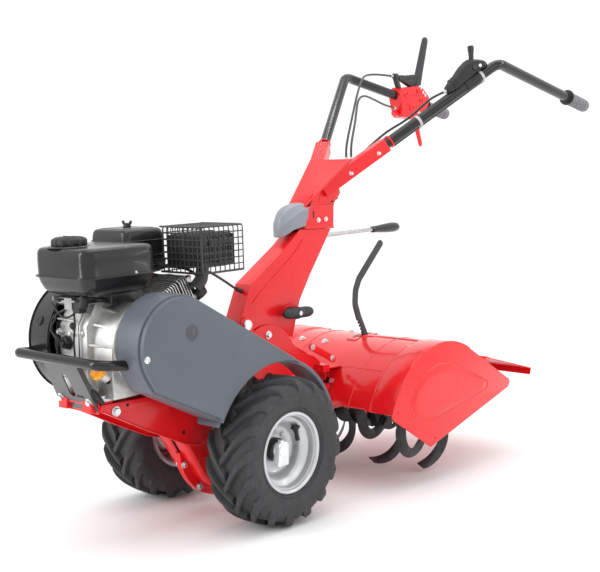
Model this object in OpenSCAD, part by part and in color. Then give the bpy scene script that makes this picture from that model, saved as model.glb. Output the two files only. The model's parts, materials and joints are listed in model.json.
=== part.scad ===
// Two-wheel walk-behind tiller with a rear tine rotor.
// +Z is up, -Y is the engine end, +Y is the operator's end and +X is the machine's left.
// The ground is Z = 0. Every module below works from the wheel axle (Y = 0), and from_axle()
// moves it so that the origin lies under the middle of the whole machine.

/* [Wheels] */
// Outside diameter of a tyre
tyre_d = 330; // [324:1:334]
// Width of a tyre
tyre_w = 126; // [120:1:128]
// Distance between the middle planes of the tyres
track = 354; // [352:1:360]
// Diameter of the wheel axle
axle_d = 25; // [20:1:25]

/* [Tines] */
// Distance from the wheel axle back to the tine shaft
tine_y = 560; // [556:1:564]
// Swept diameter of the tines
tine_d = 330; // [322:1:330]
// Number of tines on one flange
tines_per_flange = 4; // [2:2:4]

/* [Hood] */
// Width of the tine hood over its end plates
hood_w = 510; // [504:2:516]
// Thickness of the sheet metal
sheet_t = 2.5; // [2:0.5:3]
// Radius of the hood's curved top
hood_r = 232; // [230:1:234]
// Length of the rear levelling flap
flap_l = 250; // [200:5:260]

/* [Engine] */
// Distance from the wheel axle forward to the crankshaft
crank_fwd = 288; // [286:1:290]
// Height of the crankshaft
crank_z = 422; // [420:1:424]
// Angle by which the engine leans forward
engine_lean = 2.5; // [1:0.5:3]

/* [Column] */
// Outside width of the steering column
column_w = 50; // [48:1:50]
// Height of the column's pivot pin
pivot_z = 422; // [421:1:423]

/* [Handlebars] */
// Diameter of the handlebar tube
bar_d = 27; // [25:1:28]
// Height of the bend in the handlebars
bend_z = 1064; // [1050:1:1075]
// Distance from the wheel axle back to the ends of the grips
grip_y = 1266; // [1240:1:1280]
// Half the distance between the handlebars at the bend
bend_x = 257; // [250:1:262]

/* [Bumper] */
// Diameter of the bumper tube
bumper_d = 21; // [19:1:23]
// Distance from the wheel axle forward to the bumper's front run
bumper_fwd = 444; // [444:1:450]

/* [Hidden] */
$fn = 48;

red = [0.78, 0.05, 0.07];
black = [0.08, 0.08, 0.09];
slate = [0.36, 0.38, 0.42];
steel = [0.72, 0.73, 0.74];
alloy = [0.75, 0.76, 0.77];
rubber = [0.12, 0.12, 0.13];

// Running clearance on the radius of a shaft, and the gap between parts that only touch
run = 0.05;
gap = 0.3;

bumper_y = -bumper_fwd;
axle_y = (bumper_fwd + bumper_d / 2 - grip_y - bar_d / 4) / 2;
axle_z = tyre_d / 2;
axle_r = axle_d / 2;
tine_z = tine_d / 2;
crank_y = -crank_fwd;

// Gearbox, chassis and drive train
gearbox_w = 92;
gearbox_r = 112;
input_y = -185;
input_z = 350;
input_case_r = 24;
chassis_x = 62;
wall = 8;
drive_z = 205;

// Belt drive
belt_x = 139;
belt_w = 9;
belt_t = 7;
engine_pulley_r = 32;
gearbox_pulley_r = 52;
idler_r = 11;
idler_y = -281;
idler_z = 334;
idler_pivot_y = -215;
idler_pivot_z = 290;

// Belt cover
cover_x0 = 118;
cover_x1 = 197;
cover_step = 12;
cover_r = 104;
cover_wall = 3;
arch_r = 192;
fender_r = 202;

// Hood: centre of the curved top, angles where the curve starts and ends, lowest points
hood_y = tine_y - 14;
hood_z = 119;
hood_a0 = 161;
hood_a1 = 61.5;
hinge_y = 747;
hinge_z = 287;
flap_drop = 13.6;
hinge_r = 4;

// Column and handlebars
pivot_y = 61;
pivot_r = 8;
swivel_y = 318;
swivel_z = 638;
stud_r = 10;
arm_start = [26, 352, 741];
bend = [bend_x, 768, bend_z];
arm_dir = (bend - arm_start) / norm(bend - arm_start);
arm_l = 205;
bar_end = [bend_x - 11, grip_y, bend_z - 80];
grip_dir = (bar_end - bend) / norm(bar_end - bend);
bend_r = 55;
bar_r = bar_d / 2;
grip_l = 108;
housing_y = 1078;
clutch_pivot = [1104, 1056];
reverse_pivot = [1100, 974];
throttle_s = 485;

// Tine lever: its pivot on a circle about a centre, and the middle line of its bar
lever_c = [700, 445];
lever_r = 190;
lever_a = 230;
lever_pivot = lever_c + lever_r * [cos(lever_a), sin(lever_a)];
lever_line = [lever_pivot, [548, 340], [513, 400], [500, 438], [500, 470], [510, 497], [604, 591]];

// Routes of the cables that the handlebars carry, and of the one from engine to column
clutch_route = [
    [-14, 478, 806], [-32, 500, 850], [-70, 570, 930], [-108, 640, 1000],
    [-150, 712, 1044], [-196, 790, 1066], [-228, 880, 1078], [-246, 985, 1083]
];
reverse_route = [
    [-4, 486, 806], [-16, 500, 850], [-52, 560, 915], [-90, 620, 975],
    [-125, 690, 996], [-170, 790, 996], [-215, 900, 990], [-244, 996, 986]
];
throttle_route = [
    [28, 462, 808], [48, 490, 842], [74, 532, 882], [104, 579, 916], [136, 596, 946],
    [160, 608, 968], [184, 637, 987]
];
engine_route = [
    [40, -78, 556], [34, -50, 548], [20, 0, 528], [8, 38, 512], [3, 57, 505]
];
cable_r = 3;

module from_axle() {
    translate([0, axle_y, 0]) children();
}

module in_engine() {
    from_axle() translate([0, crank_y, crank_z]) rotate([engine_lean, 0, 0]) children();
}

// A cylinder along X between two X positions
module rod_x(x0, x1, r, y, z) {
    translate([x0, y, z]) rotate([0, 90, 0]) cylinder(h = x1 - x0, r = r);
}

// A sheet in the YZ plane: its 2D child is drawn with Y across and Z up
module sheet_x(x0, x1) {
    translate([x0, 0, 0]) rotate([90, 0, 90]) linear_extrude(x1 - x0) children();
}

module both_sides() {
    children();
    mirror([1, 0, 0]) children();
}

function unit(v) = v / norm(v);

// The frame whose Z axis runs along d and whose X axis is level, at a point
function along(d, at) =
    let (z = unit(d), x = unit(cross([0, 0, 1], z)), y = cross(z, x))
    [[x[0], y[0], z[0], at[0]], [x[1], y[1], z[1], at[1]],
     [x[2], y[2], z[2], at[2]], [0, 0, 0, 1]];

// Points of an arc in 2D
function arc(c, r, a0, a1, n) =
    [for (i = [0 : n]) c + r * [cos(a0 + (a1 - a0) * i / n), sin(a0 + (a1 - a0) * i / n)]];

// A smooth curve through route points, for the cables
function spline(p, n) = [
    for (i = [0 : len(p) - 2], j = [0 : n - 1])
        let (a = p[max(i - 1, 0)], b = p[i], c = p[i + 1], d = p[min(i + 2, len(p) - 1)],
             t = j / n)
        0.5 * (2 * b + (c - a) * t + (2 * a - 5 * b + 4 * c - d) * t * t
               + (3 * b - a - 3 * c + d) * t * t * t),
    p[len(p) - 1]
];

// A round tube swept along a route that never runs straight up
module cable(route, r) {
    sides = 8;
    path = spline(route, 3);
    last = len(path) - 1;
    rings = [for (i = [0 : last])
        let (m = along(path[min(i + 1, last)] - path[max(i - 1, 0)], path[i]))
        for (k = [0 : sides - 1])
            let (a = 360 * k / sides, q = m * [r * cos(a), r * sin(a), 0, 1])
            [q[0], q[1], q[2]]];
    skin = [for (i = [0 : last - 1], k = [0 : sides - 1])
        let (k2 = (k + 1) % sides)
        [sides * i + k, sides * (i + 1) + k, sides * (i + 1) + k2, sides * i + k2]];
    polyhedron(rings, concat(skin, [[for (k = [0 : sides - 1]) k]],
        [[for (k = [sides - 1 : -1 : 0]) sides * last + k]]), convexity = 6);
}

module bar(p, q, r) {
    multmatrix(along(q - p, p)) cylinder(h = norm(q - p), r = r);
}

// How far before a corner its bend starts
function corner_back(p0, p1, p2, corner_r) =
    corner_r * tan(acos(unit(p1 - p0) * unit(p2 - p1)) / 2);

// The bend of a round bar at p1, and its straight leg on to p2. The bend is a hair thicker than
// the legs, whose ends reach into it.
module bend_and_leg(p0, p1, p2, r, corner_r) {
    u = unit(p1 - p0);
    v = unit(p2 - p1);
    turn = acos(u * v);
    back = corner_back(p0, p1, p2, corner_r);
    n = unit(v - (u * v) * u);
    c = p1 - back * u + corner_r * n;
    b = cross(-n, u);
    multmatrix([[-n[0], u[0], b[0], c[0]], [-n[1], u[1], b[1], c[1]],
                [-n[2], u[2], b[2], c[2]], [0, 0, 0, 1]])
        rotate_extrude(angle = turn) translate([corner_r, 0]) circle(r = r + 0.1);
    bar(p1 + (back - 1) * v, p2, r);
}

// ---------------------------------------------------------------- chassis and drive

module chassis_side() {
    polygon([[-390, 292], [-386, 304], [-228, 305], [-205, 322], [-90, 330], [-40, 318], [-20, 280],
             [-60, 215], [-120, 176], [-164, 187], [-260, 230], [-382, 289]]);
}

module chassis() {
    color(red) from_axle() {
        both_sides() difference() {
            sheet_x(chassis_x, chassis_x + 3) chassis_side();
            rod_x(chassis_x - 1, chassis_x + 4, 5, -350, 287);
            rod_x(chassis_x - 1, chassis_x + 4, 5, -110, 262);
            rod_x(chassis_x - 1, chassis_x + 4, 5, -80, 200);
        }
        // Front cross plate and the seat plate under the engine
        translate([-chassis_x, -392, 286]) cube([2 * chassis_x, 3, 34]);
        translate([-chassis_x, -390, 300]) cube([2 * chassis_x, 160, 4]);
        // Stud of the belt idler
        rod_x(chassis_x + 1, 127, 4, idler_pivot_y, idler_pivot_z);
        // Shelves under the column base, beside the gearbox
        both_sides() translate([gearbox_w / 2 + gap, -95, 281])
            cube([chassis_x - gearbox_w / 2, 70, 4]);
    }
}

bumper_mid = [0, bumper_y, 398];
bumper_corner = [137, bumper_y, 398];
bumper_leg_dir = unit([6, 92, -8]);
bumper_bend_r = 28;

module bumper_leg(l) {
    bend_and_leg(bumper_mid, bumper_corner, bumper_corner + l * bumper_leg_dir, bumper_d / 2,
        bumper_bend_r);
}

module bumper() {
    tilt = 26;
    color(black) from_axle() {
        half = bumper_corner[0] + 1 - corner_back(bumper_mid, bumper_corner,
            bumper_corner + bumper_leg_dir, bumper_bend_r);
        rod_x(-half, half, bumper_d / 2, bumper_y, bumper_mid[2]);
        bumper_leg(52);
        mirror([1, 0, 0]) bumper_leg(31);
        // Slotted front plate, which hangs from the tube
        translate([0, bumper_y + 4, 392]) rotate([tilt, 0, 0]) difference() {
            translate([0, 1.5, 0]) rotate([90, 0, 0]) linear_extrude(3)
                polygon([[-54, 0], [54, 0], [62, -104], [-62, -104]]);
            for (z = [-72, -36]) translate([0, 5, z]) rotate([90, 0, 0])
                cylinder(h = 10, r = 5);
            translate([-5, -5, -72]) cube([10, 10, 36]);
        }
    }
}

module gearbox_outline(d) {
    offset(delta = d) {
        hull() {
            translate([0, axle_z]) circle(r = gearbox_r, $fn = 64);
            translate([input_y, input_z]) circle(r = input_case_r);
        }
        hull() {
            translate([0, axle_z]) circle(r = 90, $fn = 64);
            translate([140, drive_z]) circle(r = 46);
        }
    }
}

gearbox_bolt_places =
    [for (a = [200, 235, 270, 305]) [0, axle_z] + (gearbox_r + 10) * [cos(a), sin(a)]];

module gearbox_half() {
    half = gearbox_w / 2;
    difference() {
        union() {
            sheet_x(run, half) gearbox_outline(0);
            sheet_x(run, 8) for (p = gearbox_bolt_places) translate(p) circle(r = 13);
            rod_x(half - 1, half + 14, 34, 0, axle_z);
            rod_x(half - 1, chassis_x - run, 14, -110, 262);
            rod_x(half - 1, chassis_x - run, 14, -80, 200);
        }
        sheet_x(run - 1, half - wall) gearbox_outline(-wall);
        rod_x(-1, half + 20, axle_r + run, 0, axle_z);
        rod_x(-1, half + 20, 10 + run, input_y, input_z);
        translate([0, 130, drive_z]) rotate([-90, 0, 0]) cylinder(h = 90, r = 26);
        for (p = gearbox_bolt_places) rod_x(-1, 10, 4 + run, p[0], p[1]);
        rod_x(half - 20, chassis_x + 1, 5, -110, 262);
        rod_x(half - 20, chassis_x + 1, 5, -80, 200);
    }
}

module gearbox_left() {
    color(red) from_axle() gearbox_half();
}

module gearbox_right() {
    color(red) from_axle() mirror([1, 0, 0]) gearbox_half();
}

module drive_case() {
    front = 187;
    color(red) from_axle() difference() {
        union() {
            translate([0, front, drive_z]) rotate([-90, 0, 0]) cylinder(h = 285, r = 33);
            translate([0, front, drive_z]) rotate([-90, 0, 0]) cylinder(h = 8, r = 44);
            translate([0, front + 277, drive_z]) rotate([-90, 0, 0]) cylinder(h = 8, r = 40);
            // Saddle that carries the front of the hood
            translate([-40, 300, drive_z + 24]) cube([80, 50, 20]);
        }
        translate([0, front - 1, drive_z]) rotate([-90, 0, 0]) cylinder(h = 290, r = 26);
    }
}

module tine_case_outline(d) {
    offset(delta = d) hull() {
        translate([tine_y, tine_z]) circle(r = 62, $fn = 64);
        translate([516, drive_z]) circle(r = 42);
    }
}

module tine_case() {
    half = 21;
    color(black) from_axle() {
        difference() {
            union() {
                sheet_x(-half, half) tine_case_outline(0);
                translate([0, 472 + gap, drive_z]) rotate([-90, 0, 0])
                    cylinder(h = 20, r = 40);
                // Fork for the tine lever
                for (x = [-8, 4]) sheet_x(x, x + 4) hull() {
                    translate(lever_pivot) circle(r = 11);
                    translate([tine_y, tine_z + 50]) circle(r = 16);
                }
            }
            sheet_x(-half + 6, half - 6) tine_case_outline(-6);
            rod_x(-half - 1, half + 1, axle_r + run, tine_y, tine_z);
            translate([0, 470, drive_z]) rotate([-90, 0, 0]) cylinder(h = 30, r = 26);
            rod_x(-9, 9, 4 + run, lever_pivot[0], lever_pivot[1]);
            // Room for the lever between the ears of the fork
            translate([-4, lever_pivot[0] - 30, tine_z + 63]) cube([8, 60, 90]);
        }
    }
}

module column_base_side() {
    polygon(concat([[10, 285], [24, 380]], arc([132, 318], 98, 128, 28, 14),
        [[245, 340], [300, 322], [322, 306], [322, 285]]));
}

module column_base() {
    x = column_w / 2 + 3;
    color(red) from_axle() {
        difference() {
            both_sides() sheet_x(x, x + 3) column_base_side();
            rod_x(-x - 5, x + 5, pivot_r + run, pivot_y, pivot_z);
            rod_x(-x - 5, x + 5, 5, 134, 392);
        }
        // Ears of the pivot
        both_sides() difference() {
            sheet_x(x, x + 3) hull() {
                translate([pivot_y, pivot_z]) circle(r = 18);
                translate([72, 372]) circle(r = 20);
            }
            rod_x(x - 1, x + 4, pivot_r + run, pivot_y, pivot_z);
        }
        translate([-x - 3, 12, 285 + run]) cube([2 * x + 6, 310, 4]);
        // Flanges to the chassis, and a foot on the gearbox
        both_sides() {
            translate([gearbox_w / 2 + gap, -95, 285 + run]) cube([15, 130, 4]);
            translate([x, 12, 285 + run]) cube([chassis_x - x - 1, 40, 4]);
            translate([x, 100, 256]) cube([3, 40, 30]);
        }
        // Tongue that carries the hood
        translate([-60, 300, 285 + run]) cube([120, 24, 18]);
    }
}

// ---------------------------------------------------------------- hood and flap

function hood_arc(d) = arc([hood_y, hood_z], hood_r + d, hood_a0, hood_a1, 20);

module hood_outline(d) {
    polygon(concat(hood_arc(d), [[838, 226 + d], [852, 219 + d], [856 + d, 212],
        [850, 203 - d], [807, 190 - d], [485, 99 - d], [327 - d, 190]]));
}

// The hood's skin: the part of the outline above the open underside
module hood_skin(d0, d1) {
    intersection() {
        difference() {
            hood_outline(d1);
            hood_outline(d0);
        }
        polygon([[300, 196], [hinge_y - 14, 274], [hinge_y - 14, 400], [300, 400]]);
    }
}

module hood() {
    half = hood_w / 2 - sheet_t - gap;
    slot_y = 530;
    color(red) from_axle() {
        difference() {
            union() {
                sheet_x(-half, half) hood_skin(-sheet_t, 0);
                // Raised guide of the tine lever
                translate([-14, slot_y - 48, 336]) cube([28, 96, 24]);
                // Bracket from the column base to the skin
                translate([-60, 324.3, 262]) cube([120, 3, 40]);
                translate([-60, 324.3, 288]) cube([120, 70, 3]);
            }
            // Notch for the drive tube
            translate([-46, 300, 150]) cube([92, 75, 110]);
            translate([-4, slot_y - 40, 300]) cube([8, 80, 70]);
        }
        // Hinge rod and its ears
        rod_x(-half, half, hinge_r, hinge_y, hinge_z);
        for (x = [-half, -80, 74, half - 6]) sheet_x(x, x + 6) hull() {
            translate([hinge_y, hinge_z]) circle(r = 7);
            translate([hinge_y - 20, hinge_z - 8]) circle(r = 4.5);
        }
    }
}

module hood_end() {
    half = hood_w / 2;
    sheet_x(half - sheet_t, half) hood_outline(3);
    // Rim that laps over the skin and stops short of the hinge
    difference() {
        sheet_x(half - 42, half - sheet_t / 2) hood_skin(run, 3);
        rod_x(half - 50, half - sheet_t, 26, hinge_y, hinge_z);
    }
}

module hood_ends() {
    color(red) from_axle() both_sides() hood_end();
}

module flap() {
    half = hood_w / 2 - sheet_t - gap - 8;
    ends = [[-half, -84], [-70, 70], [84, half]];
    color(red) from_axle() translate([0, hinge_y, hinge_z]) rotate([-flap_drop, 0, 0])
        difference() {
            union() {
                for (e = ends) rod_x(e[0], e[1], 7, 0, 0);
                for (e = ends) translate([e[0], 0, 3]) cube([e[1] - e[0], 20, 3]);
                translate([-half, 14, 3]) cube([2 * half, flap_l - 14, 3]);
                translate([-half, flap_l - 3, -14]) cube([2 * half, 3, 18]);
            }
            rod_x(-half - 1, half + 1, hinge_r + run, 0, 0);
        }
}

// ---------------------------------------------------------------- fasteners on the frame

module hex_head(x, y, z, r, h) {
    translate([x, y, z]) rotate([0, 90, 0]) cylinder(h = h, r = r, $fn = 6);
}

// A hex bolt along X with its head towards +X
module bolt_x(x, y, z, shank_r, shank_l) {
    hex_head(x, y, z, shank_r * 1.8, shank_r * 1.3);
    rod_x(x - shank_l, x + 0.1, shank_r, y, z);
}

module fasteners() {
    color(steel) from_axle() {
        both_sides() {
            bolt_x(chassis_x + 3 + run, -350, 287, 4.5, 12);
            bolt_x(chassis_x + 3 + run, -110, 262, 4.5, 24);
            bolt_x(chassis_x + 3 + run, -80, 200, 4.5, 24);
            bolt_x(column_w / 2 + 6 + run, 134, 392, 4.5, 4);
        }
        for (p = gearbox_bolt_places) {
            bolt_x(8 + run, p[0], p[1], 4, 18);
            hex_head(-8 - run - 6, p[0], p[1], 7, 6);
        }
        // Pivot pin of the column, with a round head at each side
        rod_x(-column_w / 2 - 8, column_w / 2 + 8, pivot_r, pivot_y, pivot_z);
        for (x = [-column_w / 2 - 14, column_w / 2 + 6.1])
            rod_x(x, x + 7.9, 13, pivot_y, pivot_z);
        // Pivot pin of the tine lever
        rod_x(-12, 12, 4, lever_pivot[0], lever_pivot[1]);
        for (x = [-12, 8.1]) rod_x(x, x + 3.9, 7, lever_pivot[0], lever_pivot[1]);
    }
    // Hood bolts stand square to the curved skin, in pairs across the width
    color(steel) from_axle() for (x = [-150, -70, 70, 150], a = [112, 84])
        translate([x, hood_y + (hood_r + run) * cos(a), hood_z + (hood_r + run) * sin(a)])
            rotate([a - 90, 0, 0]) cylinder(h = 5, r = 7, $fn = 6);
    // Belt cover screws and the plug over the crankshaft
    color(steel) from_axle() {
        rod_x(cover_x1 + run, cover_x1 + 4, 14, -262, 450);
        rod_x(cover_x1 + run, cover_x1 + 4, 5, -378, 408);
    }
}

// ---------------------------------------------------------------- belt drive and its cover

module cover_outline(d) {
    difference() {
        union() {
            intersection() {
                hull() {
                    translate([crank_y, crank_z + 2]) circle(r = cover_r + d, $fn = 96);
                    translate([0, axle_z]) circle(r = fender_r + d, $fn = 128);
                }
                // Everything above the straight lower edge and ahead of the wheel's top
                polygon([[-420, 367 - d * 1.1], [-176, 255.7 - d * 1.1], [-176, axle_z + 40],
                         [0, axle_z + 40], [60, 330], [60, 560], [-420, 560]]);
            }
            // Fender over the back of the wheel
            intersection() {
                translate([0, axle_z]) circle(r = fender_r + d, $fn = 128);
                polygon([[0, axle_z], [230, axle_z + 58], [230, 400], [0, 400]]);
            }
        }
        translate([0, axle_z]) circle(r = arch_r - d, $fn = 128);
    }
}

module belt_cover() {
    color(slate) from_axle() difference() {
        union() {
            sheet_x(cover_x0, cover_x1 - cover_step) cover_outline(0);
            sheet_x(cover_x1 - cover_step - 1, cover_x1) cover_outline(-5);
        }
        sheet_x(cover_x0 - 1, cover_x1 - cover_step - cover_wall) cover_outline(-cover_wall);
    }
}

module pulley(groove_r, y, z, bore) {
    half = belt_w / 2 + 1;
    from_axle() difference() {
        union() {
            rod_x(belt_x - half - 4, belt_x + half + 4, groove_r, y, z);
            for (s = [-1, 1])
                rod_x(belt_x - 2 + s * (half + 2), belt_x + 2 + s * (half + 2),
                    groove_r + belt_t + 1, y, z);
        }
        rod_x(belt_x - 20, belt_x + 20, bore, y, z);
    }
}

module engine_pulley() {
    color(steel) pulley(engine_pulley_r, crank_y, crank_z, 9.5 + run);
}

module gearbox_pulley() {
    color(steel) pulley(gearbox_pulley_r, input_y, input_z, 10);
    color(steel) from_axle() rod_x(-30, belt_x + 12, 10, input_y, input_z);
}

module belt_loop(d) {
    hull() {
        translate([crank_y, crank_z]) circle(r = engine_pulley_r + d, $fn = 64);
        translate([input_y, input_z]) circle(r = gearbox_pulley_r + d, $fn = 64);
    }
}

module drive_belt() {
    color(rubber) from_axle() sheet_x(belt_x - belt_w / 2, belt_x + belt_w / 2)
        difference() {
            belt_loop(belt_t);
            belt_loop(gap);
        }
}

module idler_arm() {
    x = 121;
    color(steel) from_axle() difference() {
        union() {
            sheet_x(x, x + 4) hull() {
                translate([idler_pivot_y, idler_pivot_z]) circle(r = 9);
                translate([idler_y, idler_z]) circle(r = 7);
            }
            rod_x(x, belt_x + 9, 4, idler_y, idler_z);
        }
        rod_x(x - 1, x + 5, 4 + run, idler_pivot_y, idler_pivot_z);
    }
}

module idler_pulley() {
    color(black) from_axle() difference() {
        rod_x(belt_x - 8, belt_x + 8, idler_r, idler_y, idler_z);
        rod_x(belt_x - 9, belt_x + 9, 4 + run, idler_y, idler_z);
    }
}

// ---------------------------------------------------------------- engine

module crankcase_outline() {
    polygon([[-96, -104], [-100, -60], [-98, 40], [-72, 86], [40, 86], [68.3, 78],
             [103.8, 2.1], [76, -60], [58, -104]]);
}

module crankcase() {
    color(alloy) in_engine() difference() {
        union() {
            sheet_x(-72, -run) crankcase_outline();
            sheet_x(-62, -run) translate([-102, -110]) square([176, 8]);
        }
        rod_x(-60, 1, 60, 0, 0);
        rod_x(-80, 1, axle_r + run, 0, 0);
    }
}

module crankcase_cover() {
    color(alloy) in_engine() difference() {
        union() {
            sheet_x(run, 22) crankcase_outline();
            rod_x(20, 96, 84, 0, 0);
            sheet_x(run, 60) translate([-102, -110]) square([176, 8]);
            sheet_x(20, 84) translate([-86, -104]) square([60, 104]);
            rod_x(95, 110, 34, 0, 0);
            dipstick_place() translate([0, 0, -6]) cylinder(h = 19.7, r = 15);
        }
        rod_x(-1, 84, 60, 0, 0);
        rod_x(80, 112, axle_r + run, 0, 0);
        dipstick_place() cylinder(h = 60, r = 10 + run, center = true);
    }
}

// The filler opening points forward and up from the lower front of the cover
module dipstick_place() {
    translate([66, -92, -54]) rotate([50, 0, 0]) children();
}

module dipstick() {
    color([0.93, 0.62, 0.16]) in_engine() dipstick_place() {
        translate([0, 0, -2]) cylinder(h = 18, r = 10);
        translate([0, 0, 14]) cylinder(h = 9, r = 20);
        translate([-4, -17, 22]) cube([8, 34, 12]);
        translate([0, 0, -28]) cylinder(h = 27, r = 3);
    }
}

module cylinder_frame() {
    in_engine() rotate([25, 0, 0]) children();
}

module cylinder_block(y0, y1, core, fin_x, fin_z, pitch) {
    translate([-core / 2, y0, -core / 2]) cube([core, y1 - y0, core]);
    for (y = [y0 + 4 : pitch : y1 - 4])
        translate([-fin_x, y, -fin_z]) cube([2 * fin_x, 3, 2 * fin_z]);
}

module cylinder_barrel() {
    difference() {
        cylinder_block(95 + gap, 150, 88, 60, 52, 9);
        translate([0, 90, 0]) rotate([-90, 0, 0]) cylinder(h = 70, r = 35);
    }
}

module cylinder_part() {
    color(alloy) cylinder_frame() cylinder_barrel();
}

module cylinder_head() {
    color(alloy) cylinder_frame() {
        cylinder_block(150 + gap, 180, 96, 62, 54, 8);
        translate([-46, 179, -34]) cube([80, 32, 68]);
        // Spark plug and its cap
        translate([48, 179, -8]) rotate([-90, 0, 0]) cylinder(h = 16, r = 9);
        translate([48, 190, -8]) rotate([-90, 0, 0]) cylinder(h = 26, r = 12);
    }
}

module blower_outline(d) {
    offset(delta = d) intersection() {
        union() {
            circle(r = 124, $fn = 96);
            translate([20, 20]) square([82, 82]);
        }
        translate([-130, -130]) square([260, 237]);
    }
}

module blower_housing() {
    color(black) in_engine() difference() {
        sheet_x(-146, -72 - gap) blower_outline(0);
        sheet_x(-143, -70) blower_outline(-3);
        rod_x(-150, -140, 88, 0, 0);
    }
}

module recoil_cover() {
    color(black) in_engine() difference() {
        union() {
            rod_x(-162, -146 - run, 100, 0, 0);
            rod_x(-186, -160, 76, 0, 0);
            translate([-178, 36, 62]) cube([26, 44, 34]);
        }
        rod_x(-159, -146, 96, 0, 0);
        rod_x(-183, -158, 72, 0, 0);
        for (a = [0 : 30 : 330]) translate([0, 88 * cos(a), 88 * sin(a)])
            rod_x(-170, -150, 6, 0, 0);
        starter_place() translate([0, 0, -80]) cylinder(h = 100, r = 4);
    }
}

// Mouth of the starter rope's guide, which points up and back
module starter_place() {
    translate([-165, 66, 90]) rotate([-35, 0, 0]) children();
}

module starter_handle() {
    color(black) in_engine() starter_place() {
        translate([0, 0, 17]) cylinder(h = 19, r = 9);
        translate([0, -28, 34]) rotate([-90, 0, 0]) cylinder(h = 56, r = 9);
        translate([0, 0, -52]) cylinder(h = 72, r = 2.5);
    }
}

module crankshaft() {
    color(steel) in_engine() {
        difference() {
            union() {
                rod_x(-130, 112, axle_r, 0, 0);
                rod_x(111, belt_x + 14, 9.5, 0, 0);
                rod_x(-40, -24, 44, 0, 0);
                rod_x(24, 40, 44, 0, 0);
            }
        }
    }
    // Flywheel with its fan blades
    color(alloy) in_engine() {
        difference() {
            rod_x(-100, -78, 104, 0, 0);
            rod_x(-101, -77, axle_r + run, 0, 0);
        }
        for (a = [0 : 30 : 330]) rotate([a, 0, 0])
            translate([-118, 56, -2]) cube([18.1, 44, 4]);
    }
}

module tank_outline(d) {
    offset(r = 28 + d) offset(delta = -28) translate([-88, -142]) square([180, 180]);
}

tank_z0 = 108;
tank_seam = 146;
tank_z1 = 202;
cap_place = [-20, -98];

module fuel_tank() {
    color(black) in_engine() difference() {
        union() {
            translate([0, 0, tank_seam]) linear_extrude(tank_z1 - tank_seam) tank_outline(0);
            translate([0, 0, tank_seam - 4]) linear_extrude(4) tank_outline(5);
            hull() {
                translate([0, 0, tank_seam - 6]) linear_extrude(3) tank_outline(0);
                translate([0, 0, tank_z0]) linear_extrude(3) tank_outline(-16);
            }
            translate([cap_place[0], cap_place[1], tank_z1 - 2]) cylinder(h = 8, r = 24);
            // Feet on the crankcase
            for (x = [-50, 50]) translate([x - 8, -60, 86.1]) cube([16, 80, 24]);
        }
        translate([0, 0, tank_z0 + 6]) linear_extrude(tank_z1 - tank_z0 - 8) tank_outline(-20);
        translate([cap_place[0], cap_place[1], tank_z1 - 12]) cylinder(h = 30, r = 18);
    }
}

module fuel_cap() {
    z = tank_z1 + 1;
    color(black) in_engine() translate([cap_place[0], cap_place[1], z]) difference() {
        union() {
            cylinder(h = 15, r = 36);
            cylinder(h = 18, r = 32);
            for (a = [0 : 30 : 330]) rotate([0, 0, a]) translate([30, -4, 0]) cube([8, 8, 13]);
        }
        translate([0, 0, -1]) cylinder(h = 12, r = 24.5);
    }
}

module air_cleaner() {
    color(black) in_engine() {
        difference() {
            translate([-150, 48, 128]) cube([128, 116, 20]);
            translate([-146, 52, 131]) cube([120, 108, 20]);
        }
        // Stud for the wing nut
        translate([-86, 106, 130]) cylinder(h = 106, r = 3);
        translate([-106, 120, 104]) cylinder(h = 28, r = 16);
    }
}

module air_cleaner_cover() {
    color(black) in_engine() difference() {
        hull() for (x = [-138, -34], y = [60, 152], z = [148.2, 214])
            translate([x, y, z]) cylinder(h = 12, r = 12, $fn = 32);
        translate([-144, 54, 147]) cube([116, 104, 75]);
        translate([-86, 106, 200]) cylinder(h = 40, r = 4);
    }
}

module wing_nut() {
    color(steel) in_engine() translate([-86, 106, 226.4]) difference() {
        union() {
            cylinder(h = 7, r = 8);
            translate([-16, -2, 2]) cube([32, 4, 12]);
        }
        translate([0, 0, -1]) cylinder(h = 30, r = 3 + run);
    }
}

module carburettor() {
    color(alloy) in_engine() {
        translate([-118, 104, 70]) cube([44, 50, 33.8]);
        translate([-96, 137, 40]) cylinder(h = 31, r = 16);
        // Inlet to the cylinder head
        translate([-76, 122, 78]) rotate([0, 90, 0]) cylinder(h = 12, r = 12);
        // Choke lever shaft and fuel tap
        translate([-128, 112, 84]) rotate([0, 90, 0]) cylinder(h = 12, r = 4);
        translate([-130, 130, 70]) rotate([0, 90, 0]) cylinder(h = 14, r = 6);
    }
}

module muffler() {
    color(slate) in_engine() {
        difference() {
            translate([2, 142, 136]) cube([106, 102, 78]);
            translate([5, 145, 139]) cube([100, 96, 72]);
            // Slots of the heat shield
            for (i = [0 : 9], j = [0 : 1])
                translate([104, 150 + 9 * i, 146 + 24 * j]) cube([8, 4, 18]);
            for (i = [0 : 8]) translate([12 + 10 * i, 138, 146]) cube([4, 8, 40]);
        }
        // Exhaust pipe down to the cylinder head
        translate([76, 160, 112]) cylinder(h = 24.5, r = 14);
    }
}

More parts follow.
